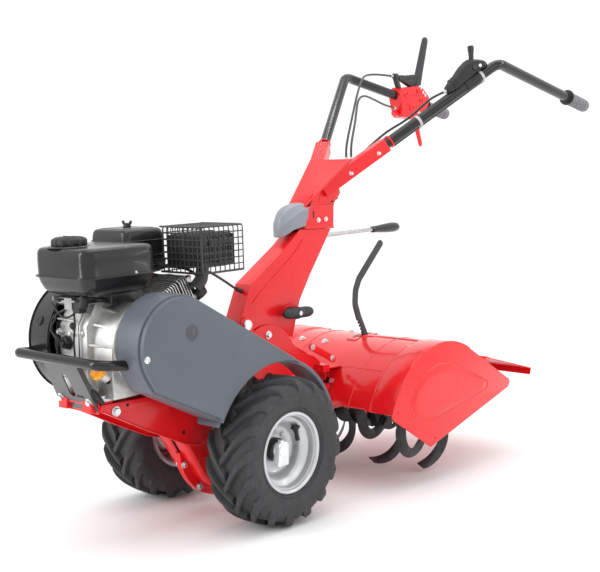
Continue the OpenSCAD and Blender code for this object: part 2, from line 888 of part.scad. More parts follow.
module guard_wires() {
    z0 = 128;
    z1 = 228;
    x0 = -10;
    x1 = 120;
    y0 = 132;
    y1 = 257;
    wire = 2.4;
    for (i = [0 : 6]) {
        z = z0 + 15 * i;
        translate([x0, y0, z]) cube([x1 - x0, wire, wire]);
        translate([x1 - wire, y0, z]) cube([wire, y1 - y0, wire]);
        translate([x0, y0, z]) cube([wire, y1 - y0, wire]);
    }
    for (i = [0 : 9]) {
        x = x0 + (x1 - x0 - wire) * i / 9;
        translate([x, y0, z0]) cube([wire, wire, z1 - z0]);
        translate([x, y0, z1 - wire]) cube([wire, y1 - y0, wire]);
    }
    for (i = [0 : 9]) {
        y = y0 + (y1 - y0 - wire) * i / 9;
        translate([x1 - wire, y, z0]) cube([wire, wire, z1 - z0]);
        translate([x0, y, z1 - wire]) cube([x1 - x0, wire, wire]);
    }
    // Lugs to the muffler
    for (z = [150, 200]) translate([108 + run, 184, z]) cube([12 - run, 8, wire]);
}

module muffler_guard() {
    color(black) in_engine() guard_wires();
}

module oil_sensor() {
    color(black) in_engine() {
        translate([-40, -100.3, 4]) rotate([90, 0, 0]) cylinder(h = 12, r = 14);
        translate([-40, -101, 4]) rotate([90, 0, 0]) cylinder(h = 16, r = 8);
        translate([-20, -98.8, 40]) rotate([90, 0, 0]) cylinder(h = 6, r = 5);
    }
}

module engine_cable() {
    color(black) from_axle() cable(engine_route, cable_r);
}

// ---------------------------------------------------------------- wheels

module axle() {
    color(steel) from_axle() difference() {
        union() {
            rod_x(-track / 2 - 24, track / 2 + 24, axle_r, 0, axle_z);
            // Worm wheel inside the gearbox
            sheet_x(-12, 12) translate([0, axle_z]) difference() {
                circle(r = 84, $fn = 64);
                for (a = [0 : 10 : 350]) rotate(a) translate([78, -3]) square([8, 6]);
            }
        }
        for (x = [-track / 2 - 12, track / 2 + 12]) translate([x, 0, axle_z - 30])
            cylinder(h = 60, r = 4 + run);
    }
}

module wheel_hub() {
    x0 = gearbox_w / 2 + 15;
    disc = track / 2 - 8;
    difference() {
        union() {
            rod_x(x0, disc, 22, 0, axle_z);
            rod_x(disc - 8, disc - run, 52, 0, axle_z);
            rod_x(disc - 1, track / 2 + 20, 19, 0, axle_z);
        }
        rod_x(x0 - 1, track / 2 + 40, axle_r + run, 0, axle_z);
        translate([track / 2 + 12, 0, axle_z - 30]) cylinder(h = 60, r = 4 + run);
    }
}

module wheel_hubs() {
    color(steel) from_axle() both_sides() wheel_hub();
}

module lock_pins() {
    color(steel) from_axle() for (x = [-track / 2 - 12, track / 2 + 12]) {
        translate([x, 0, axle_z - 25]) cylinder(h = 50, r = 4);
        translate([x, 0, axle_z + 19.5]) cylinder(h = 5, r = 8);
    }
}

rim_half = 51;
flange_r = 89;
barrel_r = 76;

// A shape turned about the wheel axle: its 2D child has the radius across and X up
module turned(x) {
    from_axle() translate([x, 0, axle_z]) rotate([0, 90, 0]) rotate_extrude($fn = 96) children();
}

module rim_profile() {
    translate([19.5, -8]) square([barrel_r - 19.5, sheet_t]);
    translate([barrel_r - sheet_t, -rim_half]) square([sheet_t, 2 * rim_half]);
    for (x = [-rim_half, rim_half - sheet_t])
        translate([barrel_r - sheet_t, x]) square([flange_r - barrel_r + sheet_t, sheet_t]);
}

module rim_left() {
    color(alloy) turned(track / 2) rim_profile();
}

module rim_right() {
    color(alloy) turned(-track / 2) mirror([0, 1]) rim_profile();
}

module tyre_profile() {
    r = 32;
    bead = barrel_r + gap + 5;
    difference() {
        hull() for (s = [-1, 1]) {
            translate([tyre_d / 2 - r, s * (tyre_w / 2 - r)]) circle(r = r);
            translate([bead, s * (rim_half - 15)]) circle(r = 5, $fn = 16);
        }
        hull() for (s = [-1, 1]) {
            translate([tyre_d / 2 - r, s * (tyre_w / 2 - r)]) circle(r = r - 9);
            translate([bead - 10, s * (rim_half - 21)]) circle(r = 4, $fn = 16);
        }
    }
}

module tyre_left() {
    color(rubber) turned(track / 2) tyre_profile();
}

module tyre_right() {
    color(rubber) turned(-track / 2) tyre_profile();
}

// ---------------------------------------------------------------- tine rotor

flange_x = [-190, -72, 72, 190];
tine_t = 5;
tine_tip_w = 34;

module tine_shaft() {
    end = flange_x[3] + 14;
    color(steel) from_axle() rod_x(-end, end, axle_r, tine_y, tine_z);
}

module tine_flanges() {
    color(black) from_axle() for (x = flange_x) difference() {
        union() {
            rod_x(x - 3, x + 3, 62, tine_y, tine_z);
            rod_x(x - 14, x + 14, 20, tine_y, tine_z);
        }
        rod_x(x - 20, x + 20, axle_r + run, tine_y, tine_z);
        for (a = [0 : 90 : 270]) rod_x(x - 5, x + 5, 5,
            tine_y + 48 * cos(a + 12), tine_z + 48 * sin(a + 12));
    }
}

// Middle line of a tine: it leaves the flange outward and sweeps round to trail
function tine_mid(t) =
    let (r = 40 + (tine_d / 2 - 16 - 40) * sin(90 * t), a = -70 * t * t)
    r * [cos(a), sin(a)];
function tine_side(t, d) =
    let (v = unit(tine_mid(t + 0.01) - tine_mid(t - 0.01)))
    tine_mid(t) + d * [-v[1], v[0]];

module tine_blade() {
    n = 9;
    w = 16;
    linear_extrude(tine_t) polygon(concat([for (i = [0 : n]) tine_side(i / n, w)],
        [for (i = [n : -1 : 0]) tine_side(i / n, -w)]));
    // The tip is bent square to the blade along its outer edge
    linear_extrude(tine_tip_w) polygon(concat([for (i = [6 : n]) tine_side(i / n, w)],
        [for (i = [n : -1 : 6]) tine_side(i / n, w - tine_t)]));
}

module tines() {
    step = 360 / tines_per_flange;
    color([0.2, 0.2, 0.21]) from_axle() for (f = [0 : 3], i = [0 : tines_per_flange - 1]) {
        out = i % 2 == 0 ? 1 : -1;
        translate([flange_x[f] + out * (3 + run), tine_y, tine_z])
            rotate([i * step + f * step / 4, 0, 0]) rotate([90, 0, 90])
                mirror([0, 0, out > 0 ? 0 : 1]) tine_blade();
    }
}

// ---------------------------------------------------------------- column

module column_outline() {
    polygon([[36, 404], [48, 436], [81, 514], [219, 606], [252, swivel_z],
             [369, swivel_z], [289, 525], [252, 466], [226, 378], [150, 398], [84, 398]]);
}

module column_lower() {
    half = column_w / 2;
    color(red) from_axle() {
        difference() {
            sheet_x(-half, half) column_outline();
            sheet_x(-half + sheet_t, half - sheet_t) {
                offset(delta = -sheet_t) column_outline();
                // Open mouth under the swivel, and open foot
                polygon([[190, 570], [214, 612], [250, 645], [290, 645], [290, 600]]);
                polygon([[44, 380], [220, 372], [220, 392], [60, 410]]);
            }
            rod_x(-half - 1, half + 1, pivot_r + run, pivot_y, pivot_z);
            rod_x(-half - 1, half + 1, 6 + run, 212, 440);
            translate([0, 330, 618]) rotate([-90, 0, 0]) cylinder(h = 60, r = 7);
            translate([0, 60, 499]) rotate([-90, 0, 0]) cylinder(h = 40, r = 5);
        }
        // Swivel plate and stud
        translate([-half + 1, 290, swivel_z - 9]) cube([column_w - 2, 70, 9]);
        translate([0, swivel_y, swivel_z - 5]) cylinder(h = 52, r = stud_r);
    }
}

module height_knob() {
    x = column_w / 2;
    color(black) from_axle() {
        rod_x(-x - 8, x + 26, 6, 212, 440);
        rod_x(x + 1, x + 22, 13, 212, 440);
        translate([x + 16, 0, 0]) hull() for (y = [178, 256])
            translate([0, y, 440]) rotate([0, 90, 0]) cylinder(h = 20, r = 13, $fn = 32);
        rod_x(-x - 8, -x - 1, 13, 212, 440);
    }
}

module gear_lever() {
    rise = 2.7;
    color(steel) from_axle() translate([0, 300, 617]) rotate([-90 + rise, 0, 0])
        cylinder(h = 276, r = 5);
    color(black) from_axle() translate([0, 300, 617]) rotate([-90 + rise, 0, 0]) difference() {
        translate([0, 0, 270]) rotate_extrude() polygon([[0, 0], [7, 0], [9, 12], [13, 86],
            [11, 106], [6, 114], [0, 114]]);
        cylinder(h = 276 + run, r = 5 + run);
    }
}

// ---------------------------------------------------------------- swivelling handlebars

module upper_side() {
    polygon([[270, 643], [270, 697], [345, 756], [372, 772], [396, 752], [404, 726],
             [378, 700], [378, 643]]);
}

module column_upper() {
    half = column_w / 2 + 2;
    tube_r = bar_r + run;
    color(red) from_axle() {
        difference() {
            union() {
                both_sides() sheet_x(half - 3, half) upper_side();
                translate([-half, 268, 643]) cube([2 * half, 110, 8]);
                translate([-half, 375, 643]) cube([2 * half, 3, 56]);
                // Front plate that widens between the arms
                hull() for (s = [-1, 1]) {
                    translate([s * half - 1.5, 270, 694]) cube([3, 3, 3]);
                    translate([s * 66 - 1.5, 396, 808]) cube([3, 3, 3]);
                }
                both_sides() multmatrix(along(arm_dir, arm_start))
                    translate([-18, -17, -16]) cube([36, 34, arm_l]);
            }
            both_sides() multmatrix(along(arm_dir, arm_start))
                translate([0, 0, 4]) cylinder(h = arm_l, r = tube_r);
            translate([0, swivel_y, 630]) cylinder(h = 40, r = stud_r + run);
            translate([-half + 3, 273, 651]) cube([2 * half - 6, 102, 70]);
        }
    }
}

module swivel_cover() {
    color(slate) from_axle() difference() {
        hull() {
            translate([0, 262, 640]) scale([0.52, 1, 1]) cylinder(h = 12, r = 62, $fn = 48);
            translate([0, 290, 686]) scale([0.52, 1, 1]) cylinder(h = 10, r = 46, $fn = 48);
        }
        translate([-29, 266, 600]) cube([58, 130, 120]);
        translate([-60, 318, 600]) cube([120, 80, 120]);
    }
}

module bar_half() {
    start = arm_start + 5 * arm_dir;
    bar(start, bend + (1 - corner_back(start, bend, bar_end, bend_r)) * arm_dir, bar_r);
    bend_and_leg(start, bend, bar_end, bar_r, bend_r);
}

module handlebars() {
    color(black) from_axle() both_sides() bar_half();
}

module grip() {
    multmatrix(along(grip_dir, bar_end - grip_l * grip_dir)) difference() {
        union() {
            cylinder(h = grip_l + 4, r = 17);
            for (z = [4 : 9 : grip_l - 4]) translate([0, 0, z]) cylinder(h = 4, r = 18.5);
            cylinder(h = 4, r = 22);
        }
        translate([0, 0, -1]) cylinder(h = grip_l + 1 + gap, r = bar_r + run);
    }
}

module grips() {
    color(black) from_axle() both_sides() grip();
}

right_x = -bend_x + 6;

module lever_housing() {
    w = 44;
    color(red) from_axle() difference() {
        sheet_x(right_x - w / 2, right_x + w / 2) hull() {
            translate([1016, 1030]) circle(r = 18, $fn = 32);
            translate([1132, 1018]) circle(r = 22, $fn = 32);
            translate([1104, 1050]) circle(r = 12, $fn = 32);
            translate([1030, 972]) circle(r = 12, $fn = 32);
            translate([1098, 970]) circle(r = 12, $fn = 32);
        }
        translate([-bend[0], bend[1], bend[2]])
            multmatrix(along([-grip_dir[0], grip_dir[1], grip_dir[2]], [0, 0, 0]))
                cylinder(h = 500, r = bar_r + run);
        // Slots for the two levers and their pivot holes
        translate([right_x - 8, 1000, 1036]) cube([16, 160, 48]);
        translate([right_x - 8, 1060, 940]) cube([16, 110, 62]);
        rod_x(right_x - 30, right_x + 30, 4 + run, clutch_pivot[0], clutch_pivot[1]);
        rod_x(right_x - 30, right_x + 30, 4 + run, reverse_pivot[0], reverse_pivot[1]);
    }
}

module clutch_lever() {
    p = clutch_pivot;
    color(black) from_axle() {
        sheet_x(right_x - 7, right_x + 7) {
            hull() {
                translate(p + [8, 4]) circle(r = 12);
                translate([1160, 1214]) circle(r = 8);
            }
            hull() {
                translate(p + [8, 4]) circle(r = 12);
                translate(p + [16, 36]) circle(r = 8);
                translate([1022, 1080]) circle(r = 8);
            }
        }
        rod_x(right_x - 24, right_x + 24, 4, p[0], p[1]);
    }
}

module reverse_lever() {
    p = reverse_pivot;
    color(red) from_axle() {
        sheet_x(right_x - 7, right_x + 7) hull() {
            translate(p) circle(r = 9);
            translate([1140, 880]) circle(r = 7);
        }
        rod_x(right_x - 24, right_x + 24, 4, p[0], p[1]);
    }
}

// Frame of the throttle control: Z along the left bar, Y away from it
module on_throttle() {
    from_axle() multmatrix(along(arm_dir, arm_start + throttle_s * arm_dir)) children();
}

module throttle_body() {
    color(black) on_throttle() difference() {
        union() {
            hull() {
                translate([0, 20, -62]) rotate([0, 90, 0])
                    cylinder(h = 30, r = 12, center = true, $fn = 32);
                translate([0, 32, 10]) rotate([0, 90, 0])
                    cylinder(h = 34, r = 20, center = true, $fn = 32);
                translate([0, 18, 46]) rotate([0, 90, 0])
                    cylinder(h = 30, r = 10, center = true, $fn = 32);
            }
            translate([0, 0, -20]) cylinder(h = 40, r = bar_r + 6);
        }
        translate([0, 0, -100]) cylinder(h = 200, r = bar_r + run);
        translate([-4, 14, -24]) cube([8, 50, 76]);
        translate([-30, 30, 18]) rotate([0, 90, 0]) cylinder(h = 60, r = 4 + run);
    }
}

module throttle_lever() {
    color(black) on_throttle() {
        translate([-3.5, 30, 18]) rotate([0, 90, 0]) cylinder(h = 7, r = 12);
        translate([0, 30, 18]) rotate([30, 0, 0]) translate([-3.5, 4, -7]) cube([7, 52, 14]);
        translate([-18, 30, 18]) rotate([0, 90, 0]) cylinder(h = 36, r = 4);
    }
}

module cables() {
    color(black) from_axle() {
        cable(clutch_route, cable_r);
        cable(reverse_route, cable_r);
        cable(throttle_route, cable_r);
    }
}

module tine_lever() {
    w = 18;
    t = 6;
    color(black) from_axle() difference() {
        translate([-t / 2, 0, 0]) rotate([90, 0, 90]) linear_extrude(t)
            for (i = [0 : len(lever_line) - 2]) hull() {
                translate(lever_line[i]) circle(d = w);
                translate(lever_line[i + 1]) circle(d = w);
            }
        rod_x(-10, 10, 4 + run, lever_pivot[0], lever_pivot[1]);
        // Catches on the front edge
        for (k = [0.4 : 0.14 : 0.82]) let (p = lever_line[1] + k * (lever_line[2] - lever_line[1]),
            n = unit(lever_line[2] - lever_line[1]))
            rod_x(-10, 10, 3, p[0] - n[1] * w / 2, p[1] + n[0] * w / 2);
    }
}

chassis();
bumper();
gearbox_left();
gearbox_right();
drive_case();
tine_case();
column_base();
hood();
hood_ends();
fasteners();
belt_cover();
crankcase();
crankcase_cover();
cylinder_part();  // cylinder
cylinder_head();
blower_housing();
recoil_cover();
fuel_tank();
air_cleaner();
air_cleaner_cover();
carburettor();
muffler();
muffler_guard();
oil_sensor();
drive_belt();
engine_cable();
axle();
wheel_hubs();
lock_pins();
rim_left();
rim_right();
tyre_left();
tyre_right();
tine_shaft();
tine_flanges();
tines();
crankshaft();
engine_pulley();
gearbox_pulley();
idler_arm();
idler_pulley();
fuel_cap();
dipstick();
starter_handle();
wing_nut();
column_lower();
height_knob();
column_upper();
swivel_cover();
handlebars();
grips();
lever_housing();
throttle_body();
cables();
clutch_lever();
reverse_lever();
throttle_lever();
gear_lever();
tine_lever();
flap();
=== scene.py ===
"""Looks of a walk-behind tiller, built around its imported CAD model.

Lengths in this script are millimetres in the wheel-axle frame: X is the machine's left, Y points
back to the operator and Z up, with Y = 0 at the wheel axle and Z = 0 on the ground. The matrix MM
carries them to the shared frame in metres, and ENGINE does the same for the leaning engine."""
import json
import math

import bmesh
import bpy
from mathutils import Matrix, Vector


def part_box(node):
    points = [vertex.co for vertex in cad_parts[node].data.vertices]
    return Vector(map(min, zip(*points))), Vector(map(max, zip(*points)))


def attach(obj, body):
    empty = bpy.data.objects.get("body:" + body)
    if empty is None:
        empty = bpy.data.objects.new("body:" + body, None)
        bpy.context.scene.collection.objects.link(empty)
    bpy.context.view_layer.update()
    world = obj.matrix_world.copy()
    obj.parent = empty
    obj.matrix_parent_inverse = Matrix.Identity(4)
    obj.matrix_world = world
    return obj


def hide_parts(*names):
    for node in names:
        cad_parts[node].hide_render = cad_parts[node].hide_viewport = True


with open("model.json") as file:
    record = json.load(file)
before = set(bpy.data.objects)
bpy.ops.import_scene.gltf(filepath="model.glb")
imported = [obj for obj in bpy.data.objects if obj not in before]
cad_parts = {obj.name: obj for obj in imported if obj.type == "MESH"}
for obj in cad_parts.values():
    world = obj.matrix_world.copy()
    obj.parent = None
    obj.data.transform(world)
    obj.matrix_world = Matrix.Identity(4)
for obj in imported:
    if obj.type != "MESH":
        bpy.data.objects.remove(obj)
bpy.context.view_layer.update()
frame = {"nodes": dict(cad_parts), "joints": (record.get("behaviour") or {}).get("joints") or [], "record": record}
for old in list(bpy.data.materials):
    old.name = "cad_" + old.name
JOINTS = {j["name"]: j for j in frame["joints"]}

axle_lo, axle_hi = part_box("axle")
AXLE = (axle_lo + axle_hi) / 2
MM = Matrix.Translation((0, AXLE.y, 0)) @ Matrix.Scale(0.001, 4)
TO_MM = MM.inverted()


def joint_at(name):
    """A hinge's position in the axle frame, in millimetres."""
    return TO_MM @ Vector(JOINTS[name]["pos_m"])


def joint_axis(name):
    return Vector(JOINTS[name]["axis"]).normalized()


def basis(z, x=None):
    """A rotation whose Z axis runs along z, with X level or as near x as it can be."""
    z = Vector(z).normalized()
    x = Vector(x) if x is not None else Vector((0, 0, 1)).cross(z)
    if x.length < 1e-6:
        x = Vector((1, 0, 0))
    x = (x - x.dot(z) * z).normalized()
    y = z.cross(x)
    return Matrix((x, y, z)).transposed().to_4x4()


def at(point, z=(0, 0, 1), x=None):
    return Matrix.Translation(point) @ basis(z, x)


UP = joint_axis("fuel_cap_turn")
ENGINE = MM @ at(joint_at("crank_spin"), UP, (1, 0, 0))
TO_ENGINE = ENGINE.inverted()
WHEEL_Z = AXLE.z * 1000
ALONG_X = Matrix.Rotation(math.pi / 2, 4, "Y")


# ------------------------------------------------------------------ mesh tools

def lerp(a, b, t):
    return a + (b - a) * t


def loft(bm, rings, place=Matrix(), caps=(True, True)):
    """Skins a list of rings of points, all of the same length."""
    rows = [[bm.verts.new(place @ Vector(p)) for p in ring] for ring in rings]
    n = len(rows[0])
    for a, b in zip(rows, rows[1:]):
        for i in range(n):
            j = (i + 1) % n
            bm.faces.new((a[i], a[j], b[j], b[i]))
    if caps[0]:
        bm.faces.new(rows[0][::-1])
    if caps[1]:
        bm.faces.new(rows[-1])
    return rows


def lathe(bm, profile, place=Matrix(), n=48, caps=(True, True), wave=lambda a: 1):
    """Turns (radius, height) points about local Z. wave(angle) scales the radius."""
    turns = [2 * math.pi * i / n for i in range(n)]
    unit = [(wave(a) * math.cos(a), wave(a) * math.sin(a)) for a in turns]
    return loft(bm, [[(r * x, r * y, h) for x, y in unit] for r, h in profile], place, caps=caps)


def turned_shell(bm, profile, place=Matrix(), n=96):
    """Turns a closed profile loop, such as a rim's or a tyre's, about local Z."""
    rows = lathe(bm, profile, place, n, (False, False))
    for i in range(n):
        j = (i + 1) % n
        bm.faces.new((rows[-1][i], rows[-1][j], rows[0][j], rows[0][i]))


def fillet(points, radius, n=6, closed=False):
    """Rounds the corners of a path or loop of points. radius may be one number or a list."""
    pts = [Vector(p) for p in points]
    out = []
    last = len(pts) - 1
    for i, p in enumerate(pts):
        if not closed and i in (0, last):
            out.append(p)
            continue
        r = radius[i] if isinstance(radius, (list, tuple)) else radius
        a, b = pts[i - 1] - p, pts[(i + 1) % len(pts)] - p
        turn = math.pi - a.angle(b)
        if turn < 1e-3 or r <= 0:
            out.append(p)
            continue
        back = min(r * math.tan(turn / 2), a.length * 0.49, b.length * 0.49)
        s, e = p + a.normalized() * back, p + b.normalized() * back
        for k in range(n + 1):
            t = k / n
            out.append((1 - t) ** 2 * s + 2 * t * (1 - t) * p + t * t * e)
    return out


def smooth_path(points, n=8):
    """A smooth curve through the points (Catmull-Rom)."""
    pts = [Vector(p) for p in points]
    out = []
    for i in range(len(pts) - 1):
        a, b = pts[max(i - 1, 0)], pts[i]
        c, d = pts[i + 1], pts[min(i + 2, len(pts) - 1)]
        for k in range(n):
            t = k / n
            out.append(0.5 * (2 * b + (c - a) * t + (2 * a - 5 * b + 4 * c - d) * t * t
                              + (3 * b - a - 3 * c + d) * t ** 3))
    out.append(pts[-1])
    return out


def sweep(bm, path, section, place=Matrix(), up=None):
    """Carries a flat section along a path, turning as little as it can."""
    path = [Vector(p) for p in path]
    rings = []
    x = None
    for i, p in enumerate(path):
        d = (path[min(i + 1, len(path) - 1)] - path[max(i - 1, 0)]).normalized()
        if x is None:
            x = Vector(up or (0, 0, 1)).cross(d)
            if x.length < 1e-4:
                x = Vector((1, 0, 0)).cross(d)
        x = (x - x.dot(d) * d).normalized()
        y = d.cross(x)
        rings.append([p + u * x + v * y for u, v in section])
    loft(bm, rings, place)


def circle(r, n=12):
    return [(r * math.cos(2 * math.pi * i / n), r * math.sin(2 * math.pi * i / n))
            for i in range(n)]


def polar(r, degrees):
    a = math.radians(degrees)
    return r * math.cos(a), r * math.sin(a)


def oblong(w, h, r, n=3):
    """A rectangle w by h about the origin with rounded corners."""
    out = []
    r = min(r, w / 2, h / 2)
    for k, (sx, sy) in enumerate(((1, 1), (-1, 1), (-1, -1), (1, -1))):
        for i in range(n + 1):
            a = math.pi / 2 * (k + i / n)
            out.append((sx * (w / 2 - r) + r * math.cos(a), sy * (h / 2 - r) + r * math.sin(a)))
    return out


def tube(bm, path, r, n=12, place=Matrix()):
    sweep(bm, path, circle(r, n), place)


def rod(bm, p, q, r, n=24):
    p, q = Vector(p), Vector(q)
    lathe(bm, [(r, 0), (r, (q - p).length)], at(p, q - p), n)


def block(bm, lo, hi):
    x0, y0, z0 = lo
    x1, y1, z1 = hi
    loft(bm, [[(x0, y0, z), (x1, y0, z), (x1, y1, z), (x0, y1, z)] for z in (z0, z1)])


def sheet(bm, outline, x0, x1, holes=()):
    """A plate in the YZ plane, from x0 to x1, with holes. Loops are (y, z) points."""
    def loop(points):
        vs = [bm.verts.new((x0, *p)) for p in points]
        return [bm.edges.new((vs[i], vs[(i + 1) % len(vs)])) for i in range(len(vs))]
    edges = loop(outline)
    for hole in holes:
        edges += loop(hole)
    made = bmesh.ops.triangle_fill(bm, edges=edges, use_beauty=True, use_dissolve=False)
    faces = [g for g in made["geom"] if isinstance(g, bmesh.types.BMFace)]
    # A dict keeps the edges in order, so that the faces come out the same each run
    inner = list(dict.fromkeys(e for f in faces for e in f.edges))
    flat = bmesh.ops.dissolve_limit(bm, angle_limit=0.01, edges=inner, verts=[])
    faces = flat["region"] if flat["region"] else faces
    faces = [f for f in faces if isinstance(f, bmesh.types.BMFace) and f.is_valid]
    grown = bmesh.ops.extrude_face_region(bm, geom=faces)
    moved = [g for g in grown["geom"] if isinstance(g, bmesh.types.BMVert)]
    bmesh.ops.translate(bm, verts=moved, vec=(x1 - x0, 0, 0))


def hex_bolt(bm, point, axis, r, h, washer=1.5, place=Matrix()):
    """A hexagon head on a washer, with the chamfer that real heads have."""
    m = place @ at(point, axis)
    lathe(bm, [(r * 1.32, 0), (r * 1.38, 0.3), (r * 1.38, washer - 0.3), (r * 1.32, washer)], m, 24)
    lathe(bm, [(r, washer), (r, washer + h * 0.86), (r * 0.88, washer + h)], m, 6)


def screw(bm, point, axis, r, place=Matrix()):
    """A pan head on a thin washer, with a recess in its middle."""
    lathe(bm, [(r * 1.4, 0), (r * 1.4, 0.8), (r, 0.8), (r, r * 0.35), (r * 0.8, r * 0.55),
               (r * 0.4, r * 0.62), (r * 0.3, r * 0.4), (0.01, r * 0.4)],
          place @ at(point, axis), 20)


def piece(name, bm, material, node=None, place=MM, smooth=32, bevel=0.0, segments=2, body="frame"):
    """Makes an object of a bmesh, which stands for a CAD node or adds to them, on its body."""
    bmesh.ops.remove_doubles(bm, verts=bm.verts, dist=1e-4)
    bmesh.ops.recalc_face_normals(bm, faces=bm.faces)
    mesh = bpy.data.meshes.new(name)
    bm.to_mesh(mesh)
    bm.free()
    mesh.transform(place)
    if "custom_normal" in mesh.attributes:
        mesh.attributes.remove(mesh.attributes["custom_normal"])
    mesh.materials.clear()
    mesh.materials.append(material)
    for p in mesh.polygons:
        p.material_index = 0
    obj = bpy.data.objects.new(name, mesh)
    bpy.context.scene.collection.objects.link(obj)
    mesh.shade_smooth()
    if bevel:
        mod = obj.modifiers.new("edge", "BEVEL")
        mod.width = bevel / 1000
        mod.segments = segments
        mod.limit_method = "ANGLE"
        mod.angle_limit = math.radians(smooth)
        mod.harden_normals = True
        mod.miter_outer = "MITER_ARC"
    else:
        mesh.set_sharp_from_angle(angle=math.radians(smooth))
    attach(obj, BODY_OF.get(node, body))
    if node:
        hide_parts(node)
    return obj


BODY_OF = {n: b for b, ns in frame["record"]["behaviour"]["bodies"].items() for n in ns}


# ------------------------------------------------------------------ shapes taken from the CAD

def cad_mesh(node, into=TO_MM):
    """A CAD node's mesh in the axle or engine frame, with its flat faces whole again."""
    bm = bmesh.new()
    bm.from_mesh(frame["nodes"][node].data)
    bmesh.ops.remove_doubles(bm, verts=bm.verts, dist=2e-6)
    bmesh.ops.dissolve_limit(bm, angle_limit=math.radians(0.6), verts=bm.verts,
                             edges=bm.edges, delimit=set())
    bmesh.ops.transform(bm, matrix=into, verts=bm.verts)
    return bm


def round_edges(bm, test, offset, segments=4):
    """Rounds the sharp edges that pass the test."""
    sharp = math.radians(20)
    chosen = [e for e in bm.edges if len(e.link_faces) == 2
              and e.calc_face_angle(0) > sharp and test(e)]
    bmesh.ops.bevel(bm, geom=chosen, offset=offset, offset_type="OFFSET", segments=segments,
                    profile=0.5, affect="EDGES", clamp_overlap=True)


def at_x(e, x, slack=0.3):
    return all(abs(v.co.x - x) < slack for v in e.verts)


def hull_of(circles, n=64):
    """The tight loop round circles (y, z, r), as (y, z, r, angle) of each point on it."""
    marks = [(y, z, r, 2 * math.pi * (i + 0.5) / n) for y, z, r in circles for i in range(n)]
    spots = sorted(((y + r * math.cos(a), z + r * math.sin(a), k)
                    for k, (y, z, r, a) in enumerate(marks)))

    def chain(points):
        out = []
        for p in points:
            while len(out) > 1 and ((out[-1][0] - out[-2][0]) * (p[1] - out[-2][1])
                                    - (out[-1][1] - out[-2][1]) * (p[0] - out[-2][0])) <= 1e-9:
                out.pop()
            out.append(p)
        return out[:-1]
    return [marks[p[2]] for p in chain(spots) + chain(spots[::-1])]


def hull_ring(hull, x, d=0.0):
    return [(x, y + (r + d) * math.cos(a), z + (r + d) * math.sin(a)) for y, z, r, a in hull]


def slab(bm, circles, x0, x1, r=2.0, n=64):
    """A plate across X whose outline hulls the circles, with rounded edges."""
    hull = hull_of(circles, n)
    s = 1 if x1 > x0 else -1
    ends = [(r * (1 - math.cos(t)), r * (1 - math.sin(t)))
            for t in (math.pi / 2 * k / 4 for k in range(5))]
    rings = [hull_ring(hull, x0 + s * b, -a) for a, b in reversed(ends)]
    rings += [hull_ring(hull, x1 - s * b, -a) for a, b in ends]
    loft(bm, rings)


def soften(node, material, width=0.8, segments=2, smooth=28):
    """A CAD node with its edges rounded as real castings and sheet have them."""
    piece(node + "_shape", cad_mesh(node), material, node, bevel=width, segments=segments,
          smooth=smooth)


# ------------------------------------------------------------------ materials

class Nodes:
    """Short names for the few node types that the materials use."""

    def __init__(self, name):
        self.material = bpy.data.materials.new(name)
        self.material.use_nodes = True
        self.tree = self.material.node_tree
        self.tree.nodes.clear()
        self.out = self.add("ShaderNodeOutputMaterial")
        self.shader = self.add("ShaderNodeBsdfPrincipled")
        self.link(self.shader.outputs[0], self.out.inputs["Surface"])
        self.coords = self.add("ShaderNodeTexCoord").outputs["Object"]

    def add(self, kind, **values):
        node = self.tree.nodes.new(kind)
        for key, value in values.items():
            setattr(node, key, value)
        return node

    def link(self, a, b):
        self.tree.links.new(a, b)

    def noise(self, scale, detail=4.0, rough=0.55):
        node = self.add("ShaderNodeTexNoise")
        node.inputs["Scale"].default_value = scale
        node.inputs["Detail"].default_value = detail
        node.inputs["Roughness"].default_value = rough
        self.link(self.coords, node.inputs["Vector"])
        return node.outputs["Fac"]

    def ramp(self, source, low, high, a, b):
        """Maps source from low..high to a..b, as numbers or colours."""
        if isinstance(a, tuple):
            node = self.add("ShaderNodeMix", data_type="RGBA", clamp_factor=True)
            colour_a, colour_b, result = 6, 7, 2
            node.inputs[colour_a].default_value = (*a, 1)
            node.inputs[colour_b].default_value = (*b, 1)
            self.link(self.ramp(source, low, high, 0.0, 1.0), node.inputs["Factor"])
            return node.outputs[result]
        node = self.add("ShaderNodeMapRange")
        for key, value in (("From Min", low), ("From Max", high), ("To Min", a), ("To Max", b)):
            node.inputs[key].default_value = value
        self.link(source, node.inputs["Value"])
        return node.outputs[0]

    def set(self, name, value):
        socket = self.shader.inputs[name]
        if isinstance(value, (int, float)):
            socket.default_value = value
        elif isinstance(value, tuple):
            socket.default_value = (*value, 1)
        else:
            self.link(value, socket)

    def bump(self, source, depth_mm, strength=1.0, under=None):
        node = self.add("ShaderNodeBump")
        node.inputs["Distance"].default_value = depth_mm / 1000
        node.inputs["Strength"].default_value = strength
        self.link(source, node.inputs["Height"])
        if under is not None:
            self.link(under, node.inputs["Normal"])
        return node.outputs[0]


def darker(colour, k):
    return tuple(c * k for c in colour)


def paint(name, colour, rough=0.28, coat=0.5, peel=0.02, dust=0.05, metal=0.0, shine=0.5):
    """Sprayed paint: faint orange peel, cloudy gloss and thin dust."""
    m = Nodes(name)
    cloud = m.noise(9.0, 3.0)
    m.set("Base Color", m.ramp(cloud, 0.3, 0.7, darker(colour, 1 - dust),
                               tuple(min(1.0, c * (1 + dust) + dust * 0.03) for c in colour)))
    m.set("Roughness", m.ramp(m.noise(5.0, 2.0), 0.3, 0.7, rough * 0.93, rough * 1.1))
    m.set("Metallic", metal)
    m.set("Coat Weight", coat)
    m.set("Coat Roughness", 0.08)
    m.set("Specular IOR Level", shine)
    m.set("Normal", m.bump(m.noise(160.0, 2.0, 0.4), peel, 0.35))
    return m.material


